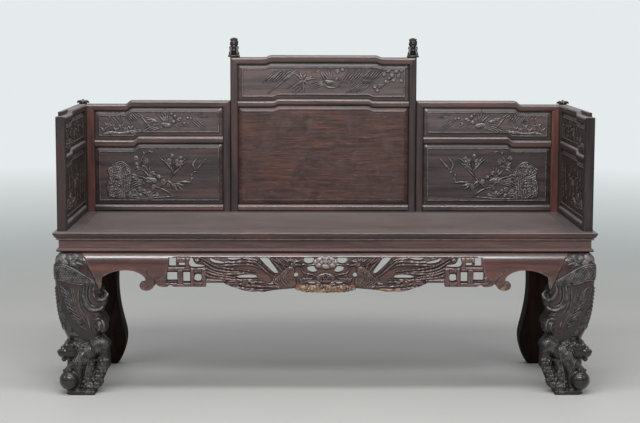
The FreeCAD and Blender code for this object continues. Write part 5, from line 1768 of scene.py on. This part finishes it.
    def __init__(self) -> None:
        """Builds the bare skin of the left leg."""
        self.sizes = LegSizes()
        z = self.sizes
        outer = smooth_path([(h, o) for h, o, _ in self.core], 5)
        inner = smooth_path([(h, i) for h, _, i in self.core], 5)
        self.outer_at = lambda h: np.interp(h, outer[:, 0], outer[:, 1])
        rings = []
        for h in np.linspace(0, 1, 90):
            o, i = self.outer_at(h), np.interp(h, inner[:, 0], inner[:, 1])
            lean = np.clip((apron_top - h * apron_top) / z.mitre_drop, 0, 1)
            joint = (z.top_width + (z.width - z.top_width) * lean) / z.width
            inward = (joint if lean < 1 else i) * z.width + z.joint_gap
            corner = z.joint_round if lean < 1 else z.front_round
            rings.append(self.ring(o * z.width, inward, h * apron_top, corner))
        n = len(rings[0])
        points = np.concatenate(rings)
        band = [[m, (m + 1) % n, n + (m + 1) % n, n + m] for m in range(n)]
        faces = [[k * n + p for p in side] for k in range(len(rings) - 1) for side in band]
        faces += [list(range(n))[::-1], [len(points) - n + m for m in range(n)]]
        bodies = [(points, faces), ball(self.place(*z.ball_place), (z.ball,) * 3)]
        for a, c, b, r in self.lumps:
            bodies.append(ball(self.place(a, c, b), (r * mm,) * 3))
        for first, last, thick, thin in self.limbs:
            bodies += limb(self.place(*first), self.place(*last), (thick * mm, thin * mm))
        base = self.ring(z.base_along[0] * z.width, z.base_along[1] * z.width, 0.0, 0.006, z.base_across)
        low, high = base + np.array([0, 0, 0.001]), base + np.array([0, 0, z.base_height])
        bodies.append((np.concatenate([low, high]), band + [list(range(n))[::-1], list(range(n, 2 * n))]))
        for a, c, b, r, count in self.curls:
            for out in even_ways(count):
                spot = np.array(self.place(a, c, b)) + out * r * mm
                if spot[2] > 0.01:
                    bodies.append(ball(tuple(spot), (z.curl,) * 3))
        self.points, self.faces = melted("leg_skin", bodies, z.voxel, 1)

    def place(self, a: float, c: float, b: float) -> Point:
        """A place from its shares: in from the end, in from the front, and up."""
        return a * self.sizes.width - half_length, c * self.sizes.width - half_depth, b * apron_top

    def ring(
        self, outer: float, inner: float, height: float, joint_round: float, across: Place | None = None,
    ) -> Grid:
        """A rounded section of the leg at one height.

        Args:
            outer: How far its outer faces lie in from the end and the front.
            inner: How far its inner faces lie in.
            height: Its height.
            joint_round: The rounding of the two corners that meet the aprons.
            across: Shares of its width where its front and back lie, if not as far in as its ends.

        Returns:
            Its points.
        """
        z = self.sizes
        front, back = outer, inner * z.depth_share
        if across:
            front, back = across[0] * z.width, across[1] * z.width
        x0, y0 = outer - half_length, front - half_depth
        x1, y1 = inner - half_length, back - half_depth
        outer_round = z.outer_round * float(np.interp(height / apron_top, (0.7, 0.88), (1.0, 0.7)))
        corners = (
            (x0, y0, 1, 1, outer_round, 180), (x1, y0, -1, 1, joint_round, 270),
            (x1, y1, -1, -1, z.inner_round, 0), (x0, y1, 1, -1, joint_round, 90),
        )
        points = []
        for x, y, way_x, way_y, radius, start in corners:
            for turn in np.radians(np.linspace(start, start + 90, 9)):
                right, back = radius * math.cos(turn), radius * math.sin(turn)
                points.append((x + way_x * radius + right, y + way_y * radius + back, height))
        return np.array(points)

    def draw(self, r: Relief) -> None:
        """Draws the carving: a mask of curls, a scaled band, two wings, crescents, ribs, fur and curls.

        Args:
            r: The relief that is drawn.
        """
        for a, b, k in (
            (0.19, 0.965, 15), (0.34, 0.955, 12), (0.48, 0.972, 11), (0.59, 0.945, 11), (0.26, 0.925, 11),
            (0.43, 0.925, 10), (0.05, 0.95, 13), (-0.12, 0.96, 13), (-0.3, 0.95, 13), (-0.45, 0.96, 12),
        ):
            # Painted highlight on the mask's peonies near the outer corner.
            r.peony((a, b), k, 5.4, pale=0.34 if 0 < a < 0.3 else 0.06)
        r.fan((0.36, 0.9), way(62, 96, 66, 91, 54, 89.5), 9, 4.6)
        band = way(
            24, 90.5, 42, 88.5, 66, 83.8, 92, 79.2, 74, 78.2, 45, 79, 17, 81.5, -10, 82, -40, 81, -50, 86,
            -20, 90, 10, 91,
        )
        r.mass(band, 4.2, 2)
        r.scales(band, 9, 2.7)
        r.stroke(
            way(-50, 87, -20, 90.5, 10, 91.5, 24, 91, 42, 88.8, 66, 84.2, 92, 79.4),
            4, 4.4, ends=(1, 0.5),
        )
        r.stroke(way(-50, 80, -10, 81.2, 17, 80.8, 45, 78.3, 74, 77.5, 92, 78.6), 5, 4.6, ends=(1, 0.5))
        for left, right in self.wings:
            r.bundle(left, right, 2, 3.6, 3.2, ends=(0.6, 0.4))
            r.hatch(left, right, 11, 0.15, 4.4, 4.6)
        for path, width, lift in self.scrolls:
            r.stroke(path, width, lift, ends=(0.15, 0.4))
        for path, width, depth in self.grooves:
            r.groove(path, width, depth)
        r.hatch(way(62, 37.5, 50, 32.5, 36, 23.5), way(84, 28.5, 68, 20.5, 52, 15), 13, 0.08, 4.6, 4.6)
        for i in range(24):
            turn = math.tau * i / 24
            near, far = (0.05 + 0.02 * (i % 2)), 0.2
            swirl = ((near, turn), ((near + far) / 2, turn + 0.18), (far, turn + 0.42))
            path = [(1.0 + k * math.cos(t), 0.345 + 0.315 * k * math.sin(t)) for k, t in swirl]
            r.stroke(path, 4, 2.8, ends=(0.4, 0.3))
        rng = np.random.default_rng(8)
        for row in range(9):
            for k in range(8):
                a, b = 0.6 + 0.072 * k + 0.036 * (row % 2) + 0.012 * row, 0.025 + 0.026 * row
                a, b = a + rng.uniform(-0.022, 0.022), b + rng.uniform(-0.008, 0.008)
                if a < 0.94 + 0.9 * b:
                    r.bloom((a, b), rng.uniform(4.4, 8.4), 3, rng.uniform(2.4, 4.2), turn=rng.uniform(0, 3))
        spots = way(44, 38.5, 55, 37.5, 66, 36, 50, 35, 40, 35.5, -2, 36, -12, 34, -4, 31, -20, 32)
        for i, spot in enumerate(spots):
            r.bloom(spot, 8, 3, 4, turn=1.3 * i)
        r.stroke(way(74, 30, 72, 24, 66, 17, 62, 10, 64, 3), 6, 3.4, ends=(0.4, 0.5))

    def carve(self) -> dict[str, Grid]:
        """Presses the drawing into the skin and returns its tones.

        Returns:
            What new_piece paints, by name.
        """
        z = self.sizes
        s = np.arange(*z.drawn_along, z.drawn_step)
        h = np.arange(*z.drawn_up, z.drawn_step)
        relief = Relief(*np.meshgrid(s, h, indexing="ij"), (0.0, 0.0), (z.width, apron_top))
        self.draw(relief)
        normals = skin_normals(self.points, self.faces)
        outer = self.outer_at(np.clip(self.points[:, 2] / apron_top, 0, 1)) * z.width
        across = self.points[:, 0] + half_length - np.maximum(self.points[:, 1] + half_depth - outer, 0)
        across = np.where(-normals[:, 1] > -normals[:, 0], self.points[:, 0] + half_length, across)
        i = np.clip((across - s[0]) / z.drawn_step, 0, len(s) - 1.01)
        j = np.clip((self.points[:, 2] - h[0]) / z.drawn_step, 0, len(h) - 1.01)
        shows = np.clip(np.maximum(-normals[:, 0], -normals[:, 1]) * 2.2 - 0.5, 0, 1)
        orb = np.linalg.norm(self.points - np.array(self.place(*z.ball_place)), axis=1) < z.ball * 1.04
        shows = np.where(orb | (self.points[:, 2] < 0.006), 0, shows)
        lift = sampled(relief.height, i, j) * shows - 0.0012 * shows
        self.points = self.points + normals * lift[:, None]
        tones = {key: sampled(grid, i, j) * shows * 0.8 for key, grid in relief.tones().items()}
        bare = np.clip(1 - softened(relief.height, 5) / (0.9 * mm), 0, 1)
        along, up = relief.u / z.width, relief.v / apron_top
        shoulder = np.clip((along - 0.55) / 0.1, 0, 1) * np.clip((up - 0.8) / 0.04, 0, 1)
        column = np.clip((up - 0.38) / 0.06, 0, 1)
        tones["bare"] = sampled(bare * np.maximum(shoulder, 0.45 * column), i, j) * shows
        # Painted shade on the inner faces, which turn away from the light.
        tones["hollow"] = np.maximum(tones["hollow"], np.clip(normals[:, 0] * 2.2 - 0.9, 0, 0.95))
        return tones

    def build(self) -> None:
        """Makes the two front legs, the right one turned left to right."""
        tones = self.carve()
        self.points[self.points[:, 2] < self.sizes.sole, 2] = 0.0
        for side, sign in (("left", 1), ("right", -1)):
            points = self.points * np.array([sign, 1, 1])
            finish = leg_wood.material(Grain.UP)
            piece = new_piece(f"leg_front_{side}_carving", points, self.faces, finish, tones)
            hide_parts(f"leg_front_{side}")
        log.info("front legs: %d faces each", len(self.faces))


@dataclass(frozen=True)
class FinialSizes:
    """Sizes of the seated lions and the corner buds."""

    lion_places: Place = (-0.3455, 0.3455)
    lion_base: float = 1.1845
    lion_height: float = 0.075
    pad: Point = (0.045, 0.034, 0.008)
    bud_places: Place = (-0.93, 0.93)
    bud_base: float = 1.0035
    bud_height: float = 0.019
    bud_width: float = 0.049
    depth: float = 0.308
    voxel: float = 0.0009


class Finials:
    """The little lions on the middle posts and the buds on the corners."""

    sizes = FinialSizes()
    masses: Rows = (
        (0, 5, 20, 15), (0, 3, 32, 13.5), (-13, 2, 15, 7.5), (13, 2, 15, 7.5), (-12, -3, 36, 7),
        (12, -3, 36, 7), (0, 0, 56, 13), (0, 5, 62, 11.5), (-9, 3, 50, 7.5), (9, 3, 50, 7.5),
        (0, -11, 52.5, 6.5), (-3.8, -10.5, 48.5, 4.6), (3.8, -10.5, 48.5, 4.6), (-5, -10, 60, 3.4),
        (5, -10, 60, 3.4), (-10.5, -1, 68, 4.4), (10.5, -1, 68, 4.4), (0, -13, 26, 7.6), (0, -9, 40, 7.5),
        (0, 13, 36, 6), (0, 12, 48, 5),
    )

    def lion(self) -> Body:
        """One seated lion with curls, on its pad, with its middle at the origin.

        Returns:
            Its points and faces.
        """
        z = self.sizes
        bodies = [ball((x * mm, y * mm, h * mm), (r * mm,) * 3) for x, y, h, r in self.masses]
        for sign in (-1, 1):
            elbow, paw = (sign * 12 * mm, -6 * mm, 34 * mm), (sign * 13 * mm, -11.5 * mm, 10 * mm)
            bodies += limb(elbow, paw, (5.4 * mm, 4.4 * mm))
            bodies.append(ball((sign * 12.5 * mm, -13 * mm, 9.5 * mm), (5.6 * mm, 5 * mm, 3.6 * mm)))
            bodies.append(ball((sign * 14 * mm, 4 * mm, 11 * mm), (7 * mm, 10 * mm, 5.5 * mm)))
        rng = np.random.default_rng(4)
        for x, y, h, r, count in ((0, 3, 59, 14.5, 60), (0, 9, 34, 12, 30)):
            for out in rng.normal(size=(count, 3)):
                out /= np.linalg.norm(out)
                if out[1] > -0.55:
                    spot = ((x + out[0] * r) * mm, (y + out[1] * r) * mm, (h + out[2] * r * 0.95) * mm)
                    bodies.append(ball(spot, (2.7 * mm,) * 3))
        bodies.append(self.pad())
        points, faces = melted("lion_skin", bodies, z.voxel, 1)
        points[:, 2] *= z.lion_height / points[:, 2].max()
        return points, faces

    def pad(self) -> Body:
        """The softened plate that a lion sits on.

        Returns:
            Its points and faces.
        """
        work = bmesh.new()
        bmesh.ops.create_cube(work, size=1.0)
        bmesh.ops.scale(work, vec=self.sizes.pad, verts=work.verts)
        bmesh.ops.translate(work, vec=(0, 0, self.sizes.pad[2] / 2), verts=work.verts)
        bmesh.ops.bevel(work, geom=work.edges, offset=0.0015, segments=2, affect="EDGES")
        body = np.array([v.co[:] for v in work.verts]), [[v.index for v in f.verts] for f in work.faces]
        work.free()
        return body

    def bud(self) -> Body:
        """One bud: a small heart on four broad leaves that droop to the post's sides.

        Returns:
            Its points and faces.
        """
        z = self.sizes
        bodies = [ball((0, 0, 0.005), (0.018, 0.016, 0.006)), ball((0, 0, 0.0105), (0.0068, 0.0068, 0.005))]
        bodies += limb((0, 0, 0.0125), (0, 0, 0.0165), (0.0042, 0.0026))
        for quarter in range(8):
            turn = quarter * math.pi / 4
            reach = z.bud_width / 2 - (0.006 if quarter % 2 else 0.0)
            path = [(0.005, 0.0115), (reach * 0.5, 0.0122), (reach * 0.8, 0.0092), (reach - 0.0028, 0.0045)]
            path = smooth_path(path, 6)
            for k, (out, up) in enumerate(path):
                wide = 0.0078 * math.sin(math.pi * (0.16 + 0.74 * k / (len(path) - 1)))
                spot = (out * math.cos(turn), out * math.sin(turn), up)
                bodies.append(ball(spot, (0.0026, wide, 0.0021), (0, 0, math.degrees(turn))))
        points, faces = melted("bud_skin", bodies, z.voxel * 0.8, 1)
        points[:, 2] = np.maximum(points[:, 2], 0) * z.bud_height / points[:, 2].max()
        return points, faces

    def build(self) -> None:
        """Makes the lions and the buds."""
        z = self.sizes
        for name, body, places, base in (
            ("lion_finials", self.lion(), z.lion_places, z.lion_base),
            ("corner_finials", self.bud(), z.bud_places, z.bud_base),
        ):
            points, faces = body
            verts = np.concatenate([points + np.array([x, z.depth, base]) for x in places])
            both = faces + [[p + len(points) for p in f] for f in faces]
            piece = new_piece(f"{name}_carving", verts, both, leg_wood.material(Grain.UP))
            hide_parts(name)
        log.info("finials: %d and %d", len(z.lion_places), len(z.bud_places))


class CarriedOver:
    """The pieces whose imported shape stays, each with its own finish."""

    finishes: tuple[tuple[str, Rosewood], ...] = (
        ("seat_boards", seat_wood),
        ("seat_braces", inner_wood),
        ("screen_keys", inner_wood),
        ("seat_frame", edge_wood),
        ("moulding", moulding_wood),
        ("waist", waist_wood),
        ("apron", apron_wood),
        ("leg_back", back_leg_shaded_wood),
        ("back_centre_lower_panel", plain_wood),
        ("arm_front_post", arm_post_wood),
        ("_arm_", arm_shaded_wood),
        ("corner_post", corner_wood),
        ("post", post_wood),
        ("rail", frame_wood),
        ("finials", leg_wood),
    )

    def finish(self, name: str) -> Rosewood:
        """The finish that suits a node's name."""
        return next((wood for key, wood in self.finishes if key in name), frame_wood)

    def grain(self, name: str) -> Grain:
        """The grain follows a piece's longest side.

        Args:
            name: The node's name.

        Returns:
            The way the grain runs.
        """
        low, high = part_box(name)
        size = [b - a for a, b in zip(low, high)]
        return (Grain.ALONG, Grain.ACROSS, Grain.UP)[size.index(max(size))]

    def dress(self) -> None:
        """Gives every node its material."""
        for name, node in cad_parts.items():
            node.data.materials.clear()
            node.data.materials.append(self.finish(name).material(self.grain(name)))
        log.info("carried over: %d nodes", len(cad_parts))


class Studio:
    """Floor, light and camera."""

    camera_place: Point = (-0.09197, -5.9026, 1.3367)
    pitch_down: float = math.radians(6.912)
    turned_right: float = math.radians(0.738)
    roll: float = math.radians(0.147)
    lens: float = 90.0
    sensor: float = 36.0
    backdrop: Colour = (0.784, 0.831, 0.839)
    room: Colour = (0.93, 0.96, 1.0)
    room_strength: float = 0.3
    floor_reach: float = 9.0
    floor_fade: Point = (2.3, 4.4, 8.8)
    aim: Point = (0.0, 0.0, 0.6)
    lamps: tuple[tuple[str, Point, Place, float], ...] = (
        ("front_lamp", (-0.3, -3.4, 3.0), (3.2, 0.8), 68),
        ("top_lamp", (0.0, -1.3, 3.3), (3.2, 0.6), 43),
        ("sheen_lamp", (0.0, -3.1, 2.75), (3.4, 0.8), 36),
        ("left_lamp", (-3.4, -1.6, 2.4), (1.6, 1.6), 14),
        ("right_lamp", (3.2, -1.8, 2.6), (1.6, 1.6), 12),
        ("back_lamp", (0.2, 2.6, 3.0), (4.0, 1.4), 26),
    )

    def floor(self) -> None:
        """A wide round floor with a faint unevenness, which runs into the backdrop far from the daybed."""
        s = Sketch("pale_floor")
        place = s.node("TexCoord", {}).outputs["Object"]
        s.feed(
            s.shader.inputs["Base Color"],
            s.mix(s.noise(place, 2.0), tone(207, 207, 203), tone(214, 214, 210)),
        )
        s.shader.inputs["Roughness"].default_value = 0.7
        away = s.node("VectorMath", {"operation": "LENGTH"}, place).outputs["Value"]
        seen = s.node("LightPath", {}).outputs["Is Camera Ray"]
        near, middle, end = self.floor_fade
        far = s.times(seen, s.spread(away, near, middle))
        haze = s.mix(s.spread(away, middle, end), tone(178, 184, 184), self.backdrop)
        glow = s.node("Emission", {}, haze)
        blend = s.node("MixShader", {}, far, s.shader.outputs[0], glow.outputs[0])
        s.feed(s.tree.nodes["Material Output"].inputs[0], blend.outputs[0])
        mesh = bpy.data.meshes.new("floor")
        reach, corners = self.floor_reach, 96
        turns = [math.tau * k / corners for k in range(corners)]
        rim = [(reach * math.cos(t), reach * math.sin(t), 0) for t in turns]
        mesh.from_pydata(rim, [], [list(range(corners))])
        mesh.materials.append(s.material)
        floor = linked("floor", mesh)

    def lamp(self, name: str, at: Point, size: Place, power: float) -> Piece:
        """A wide soft lamp that looks at the seat.

        Args:
            name: Its name.
            at: Its place.
            size: Its width and height.
            power: Its power in watts.

        Returns:
            The lamp.
        """
        data = bpy.data.lights.new(name, "AREA")
        data.shape, data.size, data.size_y, data.energy = "RECTANGLE", size[0], size[1], power
        lamp = linked(name, data)
        lamp.location = at
        lamp.rotation_euler = (Vector(self.aim) - Vector(at)).to_track_quat("-Z", "Y").to_euler()
        return lamp

    def light(self) -> None:
        """A pale room, a wide lamp in front, a long one overhead, one at each side and one behind."""
        world = bpy.data.worlds.new("room")
        bpy.context.scene.world = world
        world.use_nodes = True
        tree = world.node_tree
        soft = tree.nodes["Background"]
        soft.inputs[0].default_value, soft.inputs[1].default_value = (*self.room, 1.0), self.room_strength
        bright = tree.nodes.new("ShaderNodeBackground")
        bright.inputs[0].default_value, bright.inputs[1].default_value = (*self.backdrop, 1.0), 1.0
        ray, either = tree.nodes.new("ShaderNodeLightPath"), tree.nodes.new("ShaderNodeMath")
        either.operation = "MAXIMUM"
        blend = tree.nodes.new("ShaderNodeMixShader")
        tree.links.new(ray.outputs["Is Camera Ray"], either.inputs[0])
        tree.links.new(ray.outputs["Is Transmission Ray"], either.inputs[1])
        tree.links.new(either.outputs[0], blend.inputs[0])
        tree.links.new(soft.outputs[0], blend.inputs[1])
        tree.links.new(bright.outputs[0], blend.inputs[2])
        tree.links.new(blend.outputs[0], tree.nodes["World Output"].inputs[0])
        for name, at, size, power in self.lamps:
            self.lamp(name, at, size, power).visible_diffuse = name != "sheen_lamp"

    def camera(self) -> None:
        """The photograph's camera."""
        data = bpy.data.cameras.new("camera")
        data.lens, data.sensor_width = self.lens, self.sensor
        camera = linked("camera", data)
        turn = Matrix.Rotation(-self.turned_right, 4, "Z")
        turn = turn @ Matrix.Rotation(math.pi / 2 - self.pitch_down, 4, "X")
        turn = Matrix.Translation(self.camera_place) @ turn
        camera.matrix_world = turn @ Matrix.Rotation(self.roll, 4, "Z")
        bpy.context.scene.camera = camera
        bpy.context.scene.view_settings.view_transform = "Standard"


def main() -> None:
    """Builds the studio and the daybed's pieces in order."""
    logging.basicConfig(level=logging.INFO)
    studio = Studio()
    studio.camera()
    studio.light()
    studio.floor()
    CarriedOver().dress()
    screens = Screens()
    screens.back()
    screens.arms()
    FrontApron().build()
    FrontLeg().build()
    Finials().build()


if __name__ == "__main__":
    main()
